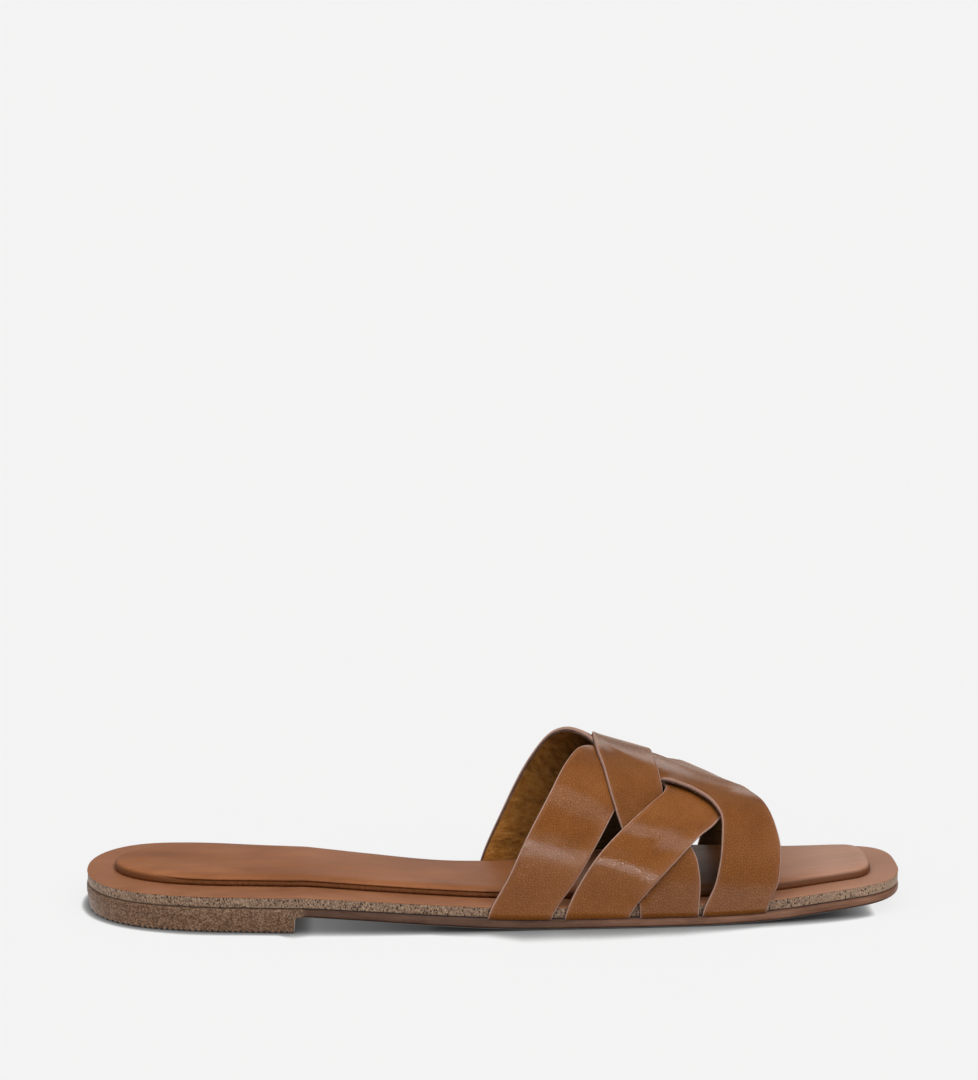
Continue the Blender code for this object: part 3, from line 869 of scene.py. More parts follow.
# profile of the pad's side: two curves of outward and up, mixed by how much of the roll there is at a station,
# with small puckers along the roll, a sum of four waves of unlike lengths
def padProfile(loop):
    size = padShape
    share = np.linspace(0, 1, size["sideSteps"])
    roll = (fade(loop[:, 0], *size["rollStart"]) * (1 - fade(loop[:, 0], *size["rollStop"])))[:, None]
    plain = [smoothCurve(share, size["walk"], size[key])[None, :] for key in ("plainOut", "plainUp")]
    rolled = [smoothCurve(share, size["walk"], size[key])[None, :] for key in ("rollOut", "rollUp")]
    out, up = [a + (b - a) * roll for a, b in zip(plain, rolled)]
    tight = 1 - size["toeTight"] * fade(loop[:, 0], *size["toeFrom"])[:, None]
    edge = size["tightFrom"]
    out = np.where(out < -edge, (out + edge) * tight - edge, out)
    length = walked(loop)
    ripple = sum(h * np.sin(2 * math.pi * length / pitch + turn) for pitch, turn, h in size["puckerWaves"])
    middle, reach = size["puckerAt"]
    where = np.exp(-((share - middle) / reach) ** 2)
    out = out + size["pucker"] * ripple[:, None] * where[None, :] * roll
    # painted shade: on the roll below its lip, and on the lower side all round the pad
    rollShade = roll * (1 - fade(share, *size["rollShade"]))[None, :]
    sideShade = size["sideShadeDepth"] * (1 - fade(share, *size["sideShade"]))[None, :]
    return out, up, np.maximum(rollShade, sideShade)


padLoop = planLoop(padShape["heelRim"], lastShape["length"] - padShape["toeRim"], padEdges,
                   padShape["heelEnd"], padShape["toeEnd"], padShape["steps"])
padOut, padUp, padShade = padProfile(padLoop)
padLevel = midsoleTop(padLoop[:, 0])[:, None] + padShape["seat"] + padUp
padCaps = padShape["capRows"]
padGrid = layerGrid(padLoop, padOut, padLevel, padCaps, padShape["crown"])
padShadeRows = np.pad(padShade, ((0, 0), (padCaps, padCaps)))
pad = gridPiece("footPad", padGrid, True, False, [padCover], 0, padShadeRows)
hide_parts("insole")

# heel lift: follows the back of the sole, tapers a little to the ground, ribbed across underneath
heelShape = {
    "length": 65.2,
    "top": 4.98,
    "flush": 0.24,  # stands out with the outsole's side
    "taper": 0.5,
    "ribPitch": 1.75,
    "ribDepth": 0.6,
    "ribPower": 1.7,
    "edge": 0.3,
    "edgeRows": 0.06,  # share of the height over which the ground edge rounds in
    "rows": np.array([0.0, 0.012, 0.03, 0.06, 0.12, 0.2, 0.35, 0.55, 0.75, 0.9, 1.0]),  # shares of the height
    "fineSteps": 3000,
    "sideSteps": 471,
    "breastSteps": 91,
    "capRows": 3,
}


# outline of the heel: both sides of the sole's back resampled to even steps, joined by a straight breast
def heelLoop():
    length, steps = heelShape["length"], heelShape["sideSteps"]
    fine = soleLoop(noLedge, heelShape["fineSteps"])
    half = len(fine) // 2
    sides = []
    for side in (fine[:half + 1], np.concatenate([fine[:1], fine[:half - 1:-1]])):
        stop = np.array([length, np.interp(length, side[:, 0], side[:, 1])])
        back = np.concatenate([side[side[:, 0] < length], stop[None, :]])
        run = walked(back)
        even = np.linspace(0, run[-1], steps)
        sides.append(np.stack([np.interp(even, run, back[:, k]) for k in (0, 1)], -1))
    across = np.linspace(0, 1, heelShape["breastSteps"])[1:-1, None]
    breast = sides[0][-1] + (sides[1][-1] - sides[0][-1]) * across
    loop = np.concatenate([sides[0], breast, sides[1][:0:-1]])
    isSide = np.ones(len(loop))
    isSide[steps:steps + len(breast)] = 0
    return loop, isSide


# heights from the ribbed ground edge to the top: a rib is the arch of a sine to a power, its notch the dip; the
# side leans in by the taper towards the ground, and the breast stands upright
def heelProfile(loop, isSide):
    size = heelShape
    arch = np.abs(np.sin(math.pi * loop[:, 0] / size["ribPitch"])) ** size["ribPower"]
    rib = size["ribDepth"] * (1 - arch)[:, None]
    level = rib + (size["top"] - rib) * size["rows"][None, :]
    lean = size["flush"] - (size["flush"] + size["taper"]) * (1 - level / size["top"])
    tuck = -size["edge"] * (1 - fade(size["rows"], 0.0, size["edgeRows"]))[None, :] ** 2
    return isSide[:, None] * lean + tuck, level


backLoop, backSide = heelLoop()
heelOut, heelLevel = heelProfile(backLoop, backSide)
heelGrid = layerGrid(backLoop, heelOut, heelLevel, heelShape["capRows"])
heel = gridPiece("heelLift", heelGrid, True, False, [stack], 0)
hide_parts("heel")

# the straps: rows of station, angle round the foot and lift in layers, of the rear edge and then the front edge;
# the angle is 0 at the outer edge of the sole, 90 on the ridge of the instep, 180 at the inner edge
strapShape = {
    "thick": 1.7,  # leather and lining together
    "layer": 1.75,  # millimetres for one layer of lift
    "clear": 0.06,  # air between straps that cross
    # rounding of the upper edge, in from the cut and down it, and the share of it that has the pale edge finish
    "rearBevel": (0.4, 0.42, 0.8),
    "frontBevel": (1.0, 0.75, 0.5),
    "lowRound": 0.4,  # rounding of the lower edge
    "leatherShare": 0.5,  # of the cut edge; the rest is lining
    "wearReach": (0.45, 1.0),  # millimetres in from the rear and the front edge that the leather is worn paler
    "stepsAlong": 150,
    "stepsAcross": 20,
    "bevelSteps": 9,
    "lowSteps": 6,
    "groove": (0.02, 0.08, 0.03),  # between leather and lining: height above, height below, depth
    "settle": 140,  # rounds of settling the weave
    "lateRounds": 14,  # the last of them, which hardly ease any more
    "ease": (3, 0.6, 0.12),  # in a round: times, part of the neighbours' mean, pull back to the first lift
    "lateEase": (1, 0.08, 0.01),
    "sewnRows": 4,  # rows at both ends that stay as they are
    "giveWay": (0.25, 0.65),  # how much of an overlap the upper and the lower strap yield in a round
    "roundStep": 0.6,  # millimetres for a degree round the foot, roughly
    "overhang": 0.4,  # steps across that a node may lie beside a strap and still be held by it
    "rearToFront": np.array([
        (123.8, 0.0, 0.0, 143.4, 0.0, 0.0),
        (129.5, 8.0, 0.0, 150.6, 9.0, 0.0),
        (136.0, 23.0, 0.0, 157.1, 23.0, 0.0),
        (142.5, 41.0, 0.0, 162.6, 40.0, 0.0),
        (148.5, 63.0, 0.0, 167.3, 56.0, 0.0),
        (153.5, 79.0, 0.0, 173.5, 69.0, 0.0),
        (160.0, 88.0, 0.0, 182.0, 77.0, 0.0),
        (170.0, 95.0, 0.0, 191.5, 84.0, 0.0),
        (179.5, 102.0, 0.0, 199.5, 92.0, -0.3),
        (187.0, 112.0, 0.6, 205.0, 103.0, -0.5),
        (193.0, 125.0, 1.0, 208.0, 119.0, -0.1),
        (197.0, 141.0, 0.8, 212.5, 138.0, 0.3),
        (198.0, 157.0, 0.3, 215.5, 157.0, 0.2),
        (194.5, 180.0, 0.0, 213.5, 180.0, 0.0),
    ]),
    "frontToRear": np.array([
        (189.5, 0.0, 0.0, 209.4, 0.0, 0.0),
        (193.6, 12.5, 0.0, 213.4, 15.0, 0.0),
        (195.4, 30.5, 0.4, 214.2, 34.5, 0.2),
        (195.7, 46.5, 1.0, 213.0, 54.5, 0.6),
        (192.8, 59.0, 1.3, 209.4, 78.0, 1.0),
        (186.5, 64.5, 1.4, 200.9, 89.5, 1.0),
        (178.0, 68.0, 1.4, 189.1, 87.0, 1.0),
        (168.5, 76.0, 1.1, 179.4, 93.5, 1.0),
        (160.0, 88.0, 0.5, 172.0, 106.0, 1.0),
        (153.2, 100.0, 0.6, 165.8, 121.0, 0.6),
        (147.0, 117.0, 0.75, 160.8, 138.0, 0.3),
        (139.4, 141.0, 0.2, 156.0, 154.0, 0.1),
        (130.6, 165.0, 0.0, 151.0, 168.0, 0.0),
        (123.0, 180.0, 0.0, 144.0, 180.0, 0.0),
    ]),
    "rearArch": np.array([
        (170.5, 0.0, 0.0, 188.5, 0.0, 0.0),
        (169.4, 11.0, 0.0, 189.0, 11.0, 0.0),
        (167.2, 23.0, 0.0, 188.2, 22.0, 0.0),
        (164.4, 35.0, 0.0, 184.7, 34.0, 0.0),
        (161.6, 48.0, 0.4, 180.0, 49.0, 0.3),
        (159.4, 64.0, 0.7, 177.6, 64.0, 1.0),
        (157.8, 80.0, 0.7, 176.4, 80.0, 1.1),
        (157.6, 98.0, 0.7, 176.2, 98.0, 1.1),
        (159.6, 114.0, 0.7, 177.6, 114.0, 1.0),
        (162.0, 131.0, 0.4, 180.4, 131.0, 0.3),
        (165.4, 146.0, 0.0, 184.6, 146.0, 0.0),
        (168.6, 158.0, 0.0, 188.6, 158.0, 0.0),
        (171.0, 169.0, 0.0, 190.6, 169.0, 0.0),
        (172.4, 180.0, 0.0, 190.6, 180.0, 0.0),
    ]),
    "frontArch": np.array([
        (147.3, 0.0, 0.0, 167.2, 0.0, 0.0),
        (152.0, 9.0, 0.4, 172.5, 7.0, 0.2),
        (157.0, 18.5, 1.0, 178.5, 16.0, 0.8),
        (162.5, 28.0, 1.0, 184.0, 25.5, 1.0),
        (168.0, 37.5, 1.1, 188.8, 35.3, 0.8),
        (173.5, 47.8, 1.3, 193.9, 46.3, 0.1),
        (178.0, 57.8, 1.2, 197.0, 60.0, -0.3),
        (179.5, 67.6, 0.2, 196.5, 73.0, -0.8),
        (177.0, 79.4, -0.6, 192.0, 83.0, -1.0),
        (174.5, 90.0, -1.0, 189.5, 91.0, -1.0),
        (177.0, 101.0, -0.6, 192.0, 100.0, -1.0),
        (180.5, 112.0, 0.2, 196.5, 110.0, -0.8),
        (180.0, 122.0, 1.2, 198.0, 122.0, -0.3),
        (175.8, 132.0, 1.3, 195.0, 134.0, 0.2),
        (170.0, 142.5, 1.1, 190.8, 144.5, 0.8),
        (164.5, 152.0, 1.0, 186.0, 154.5, 1.0),
        (158.5, 161.5, 1.0, 180.0, 164.0, 0.8),
        (153.0, 171.0, 0.4, 174.0, 173.0, 0.2),
        (148.0, 180.0, 0.0, 168.0, 180.0, 0.0),
    ]),
    # which strap lies over which, between what angles, and the air left between them, less than none where skived
    "order": (
        ("frontToRear", "rearToFront", 0.0, 180.0, 0.0),
        ("rearArch", "rearToFront", 0.0, 180.0, -0.4),
        ("rearArch", "frontToRear", 0.0, 180.0, -0.5),
        ("frontArch", "rearArch", 0.0, 62.0, 0.0),
        ("frontArch", "rearArch", 118.0, 180.0, 0.0),
        ("rearArch", "frontArch", 66.0, 114.0, 0.0),
        ("frontToRear", "frontArch", 0.0, 180.0, 0.8),
        ("rearToFront", "frontArch", 0.0, 180.0, 0.2),
    ),
}


# the last: at each station a superellipse from one edge of the sole over the ridge to the other edge
def lastPoint(station, angle):
    outer = lastColumn("outline", "outer", station) + lastShape["seam"]
    inner = lastColumn("outline", "inner", station) + lastShape["seam"]
    foot = midsoleUnder(station)
    ridge = (outer + inner) * lastColumn("ridge", "across", station) - outer
    rise = lastColumn("ridge", "height", station) - foot
    turn = np.radians(angle)
    reach = np.abs(np.cos(turn)) ** (2 / lastShape["fullness"])
    near = ridge - (ridge + outer) * reach
    far = ridge + (inner - ridge) * reach
    across = np.where(turn < math.pi / 2, near, far)
    up = foot + rise * np.abs(np.sin(turn)) ** (2 / lastShape["fullness"])
    return np.stack([station, across, up], -1)


# outward direction of the last: the cross product of a small step along it and one round it
def lastNormal(station, angle):
    stepAlong, stepRound = lastShape["normalStep"]
    low = np.clip(angle - stepRound, 0, 180)
    high = np.clip(angle + stepRound, 0, 180)
    along = lastPoint(station + stepAlong, angle) - lastPoint(station - stepAlong, angle)
    about = lastPoint(station, high) - lastPoint(station, low)
    normal = np.cross(along, about)
    return normal / np.linalg.norm(normal, axis=-1, keepdims=True)


# both edges of a strap read along its rows; a node between them is a straight share across
def strapSheet(name):
    rows = strapShape[name]
    knots = np.arange(len(rows), dtype=float)
    along = np.linspace(0, len(rows) - 1, strapShape["stepsAlong"] + 1)
    edges = np.stack([smoothCurve(along, knots, column) for column in rows.T], -1)
    share = np.linspace(0, 1, strapShape["stepsAcross"] + 1)
    rear, front = edges[:, None, :3], edges[:, None, 3:]
    sheet = rear + (front - rear) * share[None, :, None]
    return {"edges": edges, "station": sheet[..., 0], "angle": sheet[..., 1],
            "lift": sheet[..., 2] * strapShape["layer"]}


# for each node of one sheet its place on another: the nearest node there, moved by the part of the remaining
# step that the other sheet's own two directions give
def placeOn(sheet, other):
    roundStep, overhang = strapShape["roundStep"], strapShape["overhang"]
    mine = np.stack([sheet["station"], sheet["angle"] * roundStep], -1).reshape(-1, 2).astype(np.float32)
    theirs = np.stack([other["station"], other["angle"] * roundStep], -1).astype(np.float32)
    rows, columns = theirs.shape[:2]
    flat = theirs.reshape(-1, 2)
    apart = (mine ** 2).sum(1)[:, None] + (flat ** 2).sum(1)[None, :] - 2 * mine @ flat.T
    row, column = np.divmod(apart.argmin(1), columns)
    row = np.clip(row, 1, rows - 2)
    column = np.clip(column, 1, columns - 2)
    stepAlong = (theirs[row + 1, column] - theirs[row - 1, column]) / 2
    stepAcross = (theirs[row, column + 1] - theirs[row, column - 1]) / 2
    left = mine - theirs[row, column]
    area = stepAlong[:, 0] * stepAcross[:, 1] - stepAlong[:, 1] * stepAcross[:, 0]
    atRow = row + (left[:, 0] * stepAcross[:, 1] - left[:, 1] * stepAcross[:, 0]) / area
    atColumn = column + (stepAlong[:, 0] * left[:, 1] - stepAlong[:, 1] * left[:, 0]) / area
    inside = (atRow >= 0) & (atRow <= rows - 1)
    inside = inside & (atColumn >= -overhang) & (atColumn <= columns - 1 + overhang)
    shape = sheet["station"].shape
    return atRow.reshape(shape), atColumn.reshape(shape), inside.reshape(shape)


# a grid read between its nodes, straight in both directions
def readGrid(grid, atRow, atColumn):
    rows, columns = grid.shape
    last = 1.001  # a hair inside the last node
    r = np.clip(atRow, 0, rows - last)
    c = np.clip(atColumn, 0, columns - last)
    i = r.astype(int)
    j = c.astype(int)
    fr = r - i
    fc = c - j
    near = grid[i, j] * (1 - fc) + grid[i, j + 1] * fc
    far = grid[i + 1, j] * (1 - fc) + grid[i + 1, j + 1] * fc
    return near * (1 - fr) + far * fr


# each node takes a part of the mean of its neighbours along and across
def easeSheet(lift, part):
    wide = np.pad(lift, 1, mode="edge")
    along = (wide[:-2, 1:-1] + wide[2:, 1:-1]) / 2
    across = (wide[1:-1, :-2] + wide[1:-1, 2:]) / 2
    return lift + part * ((along + across) / 2 - lift)


# settles the weave: rounds of easing each sheet towards smooth and its own first lift, then of pushing every
# crossing pair apart until the upper one clears the lower one's thickness; the lower one gives way most
def settleWeave(sheets):
    pairs = []
    for over, under, low, high, air in strapShape["order"]:
        upper, lower = sheets[over], sheets[under]
        downRow, downColumn, onLower = placeOn(upper, lower)
        upRow, upColumn, onUpper = placeOn(lower, upper)
        onLower = onLower & (upper["angle"] >= low) & (upper["angle"] <= high)
        onUpper = onUpper & (lower["angle"] >= low) & (lower["angle"] <= high)
        gap = strapShape["thick"] + strapShape["clear"] + air
        pairs.append((over, under, gap, (downRow, downColumn), (upRow, upColumn), onLower, onUpper))
    first = {name: sheet["lift"].copy() for name, sheet in sheets.items()}
    free = np.ones((strapShape["stepsAlong"] + 1, 1))
    free[:strapShape["sewnRows"]] = 0
    free[-strapShape["sewnRows"]:] = 0
    rise, sink = strapShape["giveWay"]
    for turn in range(strapShape["settle"]):
        late = turn >= strapShape["settle"] - strapShape["lateRounds"]
        times, part, pull = strapShape["lateEase" if late else "ease"]
        for name, sheet in sheets.items():
            eased = sheet["lift"]
            for _ in range(times):
                eased = easeSheet(eased, part)
            eased = eased + pull * (first[name] - sheet["lift"])
            sheet["lift"] = sheet["lift"] + (eased - sheet["lift"]) * free
        for over, under, gap, down, up, onLower, onUpper in pairs:
            upper, lower = sheets[over], sheets[under]
            short = readGrid(lower["lift"], *down) + gap - upper["lift"]
            deep = lower["lift"] + gap - readGrid(upper["lift"], *up)
            upper["lift"] = upper["lift"] + rise * np.clip(short, 0, None) * onLower * free
            lower["lift"] = lower["lift"] - sink * np.clip(deep, 0, None) * onUpper * free
    for over, under, gap, down, up, onLower, onUpper in pairs:
        short = readGrid(sheets[under]["lift"], *down) + gap - sheets[over]["lift"]
        print("weave", over, "over", under, "short by", round(float((short * onLower).max()), 2), "mm")


# one edge of a strap's section, walked from the top face down to the inner face: millimetres in from the cut,
# height above the inner face and finish; the upper edge is a quarter of an ellipse
def edgeSection(bevel):
    wide, tall, pale = bevel
    thick, low = strapShape["thick"], strapShape["lowRound"]
    missing, gained = quarterRound(strapShape["bevelSteps"])
    lowMissing, lowGained = quarterRound(strapShape["lowSteps"])
    above, below, depth = strapShape["groove"]
    parting = thick * (1 - strapShape["leatherShare"])
    inward = np.concatenate([wide * missing, [0.0, depth, 0.0], low * lowGained])
    sideUp = [parting + above, parting - below, low + below]
    up = np.concatenate([thick - tall * gained, sideUp, low * lowMissing])
    finish = np.where(up < parting, 2, 1)
    finish = np.where((inward > wide * pale) & (up > parting), 0, finish)
    return inward, up, finish[:-1]


# ring round a strap's section, walked from the rear over the top to the front and back underneath: share across,
# millimetres in from the rear or front edge, height above the inner face, and the finish of each step
def strapSection():
    frontIn, frontUp, frontFinish = edgeSection(strapShape["frontBevel"])
    rearIn, rearUp, rearFinish = edgeSection(strapShape["rearBevel"])
    inner = np.linspace(0, 1, strapShape["stepsAcross"] + 1)[1:-1]
    share = np.concatenate([inner, np.ones(len(frontIn)), inner[::-1], np.zeros(len(rearIn))])
    spread = rearIn.max() * (1 - inner) - frontIn.max() * inner
    inward = np.concatenate([spread, -frontIn, inner * 0, rearIn[::-1]])
    up = np.concatenate([inner * 0 + strapShape["thick"], frontUp, inner * 0, rearUp[::-1]])
    finish = np.concatenate([inner * 0, frontFinish, [3], inner * 0 + 3, rearFinish[::-1], [0]])
    return share, inward, up, finish.astype(int)


# a strap: its section carried along the sheet, lifted off the last along the last's own outward direction,
# both sewn-in ends drawn to a point
def strapGrid(sheet, creases):
    share, inward, up, finish = strapSection()
    edges = sheet["edges"]
    rearAt = lastPoint(edges[:, 0], edges[:, 1])
    frontAt = lastPoint(edges[:, 3], edges[:, 4])
    width = np.linalg.norm(frontAt - rearAt, axis=-1)
    across = share[None, :] + inward[None, :] / width[:, None]
    station = edges[:, :1] + (edges[:, 3:4] - edges[:, :1]) * across
    angle = np.clip(edges[:, 1:2] + (edges[:, 4:5] - edges[:, 1:2]) * across, 0, 180)
    atRow = np.broadcast_to(np.arange(len(edges))[:, None], across.shape)
    lift = readGrid(sheet["lift"], atRow, np.clip(across, 0, 1) * strapShape["stepsAcross"])
    length = walked((rearAt + frontAt) / 2)
    press = creasePress(creases, length[:, None], across * width[:, None])
    height = lift + up[None, :] - press
    points = lastPoint(station, angle) + lastNormal(station, angle) * height[..., None]
    ends = [np.repeat(row.mean(0)[None, None, :], len(share), 1) for row in (points[0], points[-1])]
    points = np.concatenate([ends[0], points, ends[1]], 0)
    rearReach, frontReach = strapShape["wearReach"]
    fromRear = np.clip(across, 0, None) * width[:, None]
    fromFront = np.clip(1 - across, 0, None) * width[:, None]
    wearAndShade = np.maximum(np.exp(-fromRear / rearReach), np.exp(-fromFront / frontReach))
    wearAndShade = np.concatenate([wearAndShade[:1], wearAndShade, wearAndShade[-1:]], 0)
    return points, finish, wearAndShade


# creases pressed into a strap: each a soft trough about a short straight line, its depth fading to both ends
def creasePress(creases, along, across):
    total = np.zeros(np.broadcast(along, across).shape)
    for atAlong, atAcross, slant, reach, wide, deep in creases:
        c, s = math.cos(math.radians(slant)), math.sin(math.radians(slant))
        run = (along - atAlong) * c + (across - atAcross) * s
        off = -(along - atAlong) * s + (across - atAcross) * c
        total = total + deep * np.exp(-(off / wide) ** 2) * np.exp(-(run / reach) ** 4)
    return total


# creases by strap: millimetres along from the outer end, across from the rear edge, slant, reach, width, depth;
# a depth below nothing is a soft swell
strapCreases = {
    "rearToFront": (
        (24.0, 5.0, 84.0, 5.0, 0.7, 0.05),
        (26.5, 10.0, 96.0, 6.0, 0.8, 0.06),
        (29.0, 15.0, 88.0, 4.0, 0.7, 0.05),
        (47.0, 9.0, 80.0, 6.0, 1.0, 0.05),
    ),
    "frontToRear": (
        (30.0, 8.0, 90.0, 6.0, 0.9, 0.05),
        (38.0, 6.0, 78.0, 5.0, 0.8, 0.06),
        (44.0, 11.0, 95.0, 5.0, 0.9, 0.06),
    ),
    "rearArch": (
        (34.0, 8.0, 88.0, 6.0, 0.9, 0.05),
        (52.0, 10.0, 94.0, 6.0, 1.0, 0.05),
    ),
    "frontArch": (
        (22.0, 6.0, 86.0, 5.0, 0.7, 0.06),
        (24.5, 12.0, 95.0, 6.0, 0.8, 0.06),
        (27.5, 9.0, 82.0, 5.0, 0.7, 0.05),
        (43.0, 10.0, 92.0, 6.0, 0.9, 0.05),
        (31.0, 3.5, 90.0, 8.0, 6.5, -0.6),
        (13.0, 17.0, 90.0, 8.0, 6.0, -0.3),
    ),
}

strapSheets = {name: strapSheet(name) for name in ("rearToFront", "frontToRear", "rearArch", "frontArch")}
settleWeave(strapSheets)
strapPieces = {}
for strapName, sheet in strapSheets.items():
    points, finish, wearAndShade = strapGrid(sheet, strapCreases[strapName])
    strapPiece = gridPiece("strap." + strapName, points, False, True,
                           [strapOuter, strapEdge, strapEdgeLining, strapInner], finish[None, :], wearAndShade)
    strapPieces[strapName] = strapPiece
    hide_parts("upper")

# pale floor with its own even light, darkened only where something stands close above it
floorLook = {
    "size": 240.0,
    "sunk": 0.0001,  # below the ground edge of the sole
    "colour": (0.12, 0.12, 0.12, 1.0),
    "rough": 0.9,
    "glow": 0.8,
    "rays": 12,  # by which the open share of the sky is found
    # brightness by that share
    "shade": [(0.0, 0.01), (0.3, 0.04), (0.5, 0.14), (0.65, 0.22), (0.8, 0.32), (0.9, 0.62), (0.97, 0.97),
              (1.0, 1.0)],
    "reach": [(0.0, 0.1), (0.06, 0.11), (0.12, 0.14), (0.238, 0.1), (0.258, 0.22), (0.34, 0.18), (0.42, 0.13),
              (0.485, 0.22), (0.53, 0.5), (0.6, 0.5), (0.72, 0.4), (0.82, 0.18), (0.9, 0.162), (1.0, 0.11)],
    "farthest": 0.03,  # the reach of the shade is a share of this, by place from heel to toe
}


# brightness by how open the sky is within a reach, which changes from heel to toe
def paleFloor():
    material, tree, shader = newMaterial("paleFloor")
    look = floorLook
    share = addShare(alongOf(tree), cadBox[0][0], cadBox[1][0])
    reach = addMath("MULTIPLY", addRamp(share, look["reach"]), look["farthest"])
    openShare = addNode(tree, "AmbientOcclusion", {"Distance": reach}, samples=look["rays"]).outputs["AO"]
    setInputs(shader, {
        "Base Color": look["colour"],
        "Roughness": look["rough"],
        "Specular IOR Level": 0.0,
        "Emission Color": addRamp(openShare, look["shade"]),
        "Emission Strength": look["glow"],
    })
    return material


half = floorLook["size"] / 2
sunk = -floorLook["sunk"]
floorMesh = bpy.data.meshes.new("floor")
floorCorners = [(-2 * half, -half, sunk), (2 * half, -half, sunk), (0.0, 2 * half, sunk)]
floorMesh.from_pydata(floorCorners, [], [(0, 1, 2)])
floorMesh.materials.append(paleFloor())
floor = bpy.data.objects.new("floor", floorMesh)
bpy.context.scene.collection.objects.link(floor)
floor.visible_diffuse = False
floor.visible_glossy = False

# studio: a surround brightest at floor level, soft lights from above, the right and the left that leave no glint, a
# faint one behind, one at the back for heel and midsole, one low in front of the sole, and each strap's own lights
studio = {
    # brightness of the surround by height, 0.5 is level, before the outer side and beyond the inner side
    "before": [(0.0, 0.04), (0.24, 0.06), (0.31, 0.6), (0.46, 0.7), (0.5, 0.85), (0.53, 0.45), (0.58, 0.3),
               (0.72, 0.25), (0.8, 0.25), (1.0, 0.3)],
    "beyond": [(0.0, 0.5), (0.4, 0.72), (0.49, 0.66), (0.53, 0.36), (0.6, 0.26), (0.8, 0.28), (1.0, 0.3)],
    "tint": (1.0, 0.88, 0.81, 1.0),  # warmth of the surround beyond the shoe
    "change": (-0.1, 0.3),  # directions across the shoe between which one gives way to the other
    "above": {"bearing": 20.0, "height": 80.0, "spread": 70.0, "power": 1.15, "glint": False},
    "key": {"bearing": 34.0, "height": 45.0, "spread": 40.0, "power": 0.6, "glint": False},
    "left": {"bearing": -52.0, "height": 20.0, "spread": 50.0, "power": 0.45, "glint": False},
    "behind": {"bearing": 171.0, "height": 20.0, "spread": 18.0, "power": 0.06, "glint": True},
    "back": {"bearing": -100.0, "height": 8.0, "spread": 30.0, "power": 0.5, "glint": True},
    "front": {"bearing": 12.0, "height": 2.0, "spread": 7.0, "power": 0.48, "glint": True},
    # by strap: a soft face light, then the light of the narrow band along it and that of the broad soft gleam
    "straps": {
        "rearToFront": {"face": (12.0, 2.0, 0.34), "band": (12.0, 6.5, 0.105), "gleam": (38.0, 47.0, 0.17)},
        "frontArch": {"face": (12.0, 2.0, 0.3), "band": (11.0, -1.6, 0.12), "gleam": (32.0, 38.0, 0.33)},
        "rearArch": {"face": (12.0, 2.0, 0.08), "gleam": (11.0, -8.5, 0.034)},
        "frontToRear": {"face": (12.0, 2.0, 0.19), "gleam": (18.5, -9.5, 0.08)},
    },
    "strapSpread": {"face": 7.0, "band": 2.6, "gleam": 26.0},
}


# brightness by height, from one run of greys before the shoe to a warm one beyond it
def makeSurround():
    world = bpy.data.worlds.new("studio")
    world.use_nodes = True
    bpy.context.scene.world = world
    tree = world.node_tree
    where = addNode(tree, "TexCoord").outputs["Generated"]
    parts = addNode(tree, "SeparateXYZ", {0: where})
    height = addShare(parts.outputs[2], -1.0, 1.0)
    away = addShare(parts.outputs[1], *studio["change"])
    beyond = addMix(1.0, addRamp(height, studio["beyond"]), studio["tint"], "MULTIPLY")
    colour = addMix(away, addRamp(height, studio["before"]), beyond)
    setInputs(tree.nodes["Background"], {"Color": colour})


# a far light: bearing 0 stands before the outer side and 90 before the toe; it reaches only the pieces it is
# given, and a free one also shines up through the floor, shaded by those pieces alone
def makeLight(name, size, pieces=None, free=False):
    light = bpy.data.lights.new(name, "SUN")
    light.angle = math.radians(size["spread"])
    light.energy = size["power"]
    lamp = bpy.data.objects.new(name, light)
    lamp.rotation_euler = (math.radians(90.0 - size["height"]), 0.0, math.radians(size["bearing"]))
    lamp.location = (0.0, 0.0, 1.0)
    lamp.visible_glossy = size["glint"]
    bpy.context.scene.collection.objects.link(lamp)
    if pieces:
        lit = bpy.data.collections.new(name + "Lit")
        for piece in pieces:
            lit.objects.link(piece)
        lamp.light_linking.receiver_collection = lit
        if free:
            lamp.light_linking.blocker_collection = lit


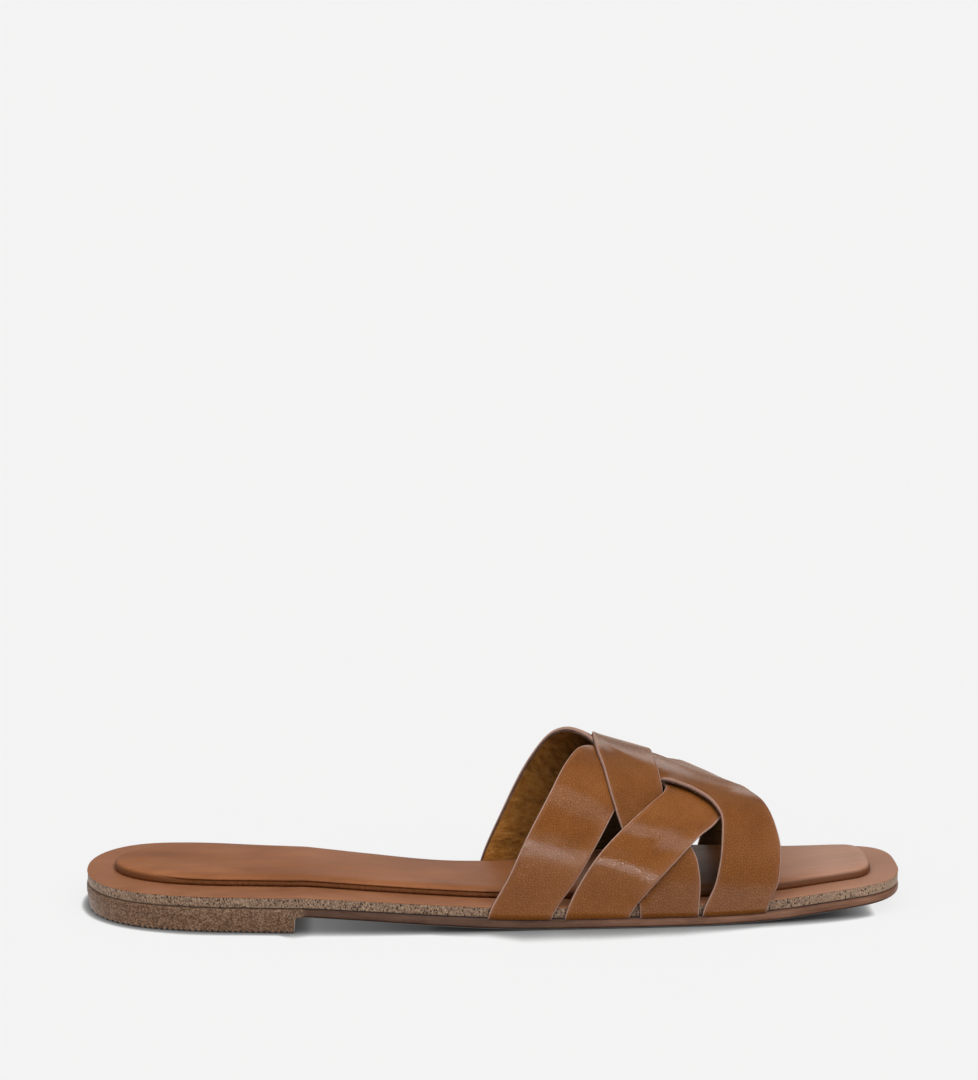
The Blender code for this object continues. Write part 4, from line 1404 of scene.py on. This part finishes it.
makeSurround()
for lightName in ("above", "key", "left", "behind"):
    makeLight(lightName, studio[lightName])
makeLight("back", studio["back"], [midsole, heel])
makeLight("front", studio["front"], [outsole, midsole, pad, heel, floor])
for strapName, lights in studio["straps"].items():
    for kind, (bearing, height, power) in lights.items():
        size = {"bearing": bearing, "height": height, "power": power, "spread": studio["strapSpread"][kind]}
        makeLight(kind + "." + strapName, dict(size, glint=kind != "face"), [strapPieces[strapName]], kind == "band")

# camera of the photograph: low, from the outer side, the shoe below the middle of a 978 by 1080 picture
viewPoint = {
    "aim": (-0.0012, -0.0051, 0.0),
    "distance": 1.1,
    "elevation": 15.5,
    "azimuth": -2.0,
    "focal": 3489.0,  # pixels
    "below": 361.0,  # pixels from the middle of the picture down to the aim
    "tall": 1080.0,
    "sensor": 36.0,
    "farthest": 400.0,  # metres
}


# the camera stands off from the aim by the distance, turned and raised, and is tipped up from the aim until the
# aim falls as far below the middle as it should
def makeCamera():
    turn = math.radians(viewPoint["azimuth"])
    rise = math.radians(viewPoint["elevation"])
    dip = rise - math.atan(viewPoint["below"] / viewPoint["focal"])
    back = np.array([math.sin(turn) * math.cos(rise), -math.cos(turn) * math.cos(rise), math.sin(rise)])
    forward = np.array([-math.sin(turn) * math.cos(dip), math.cos(turn) * math.cos(dip), -math.sin(dip)])
    right = np.array([math.cos(turn), math.sin(turn), 0.0])
    turned = np.eye(4)
    place = np.array(viewPoint["aim"]) + back * viewPoint["distance"]
    turned[:3, :] = np.stack([right, np.cross(right, forward), -forward, place], 1)
    lens = bpy.data.cameras.new("photo")
    lens.sensor_width = viewPoint["sensor"]
    lens.lens = viewPoint["sensor"] * viewPoint["focal"] / viewPoint["tall"]
    lens.clip_end = viewPoint["farthest"]
    camera = bpy.data.objects.new("photo", lens)
    camera.matrix_world = Matrix(turned.tolist())
    bpy.context.scene.collection.objects.link(camera)
    bpy.context.scene.camera = camera


makeCamera()
bpy.context.scene.view_settings.view_transform = "Standard"
print("floor, light and camera set")

bpy.context.view_layer.update()
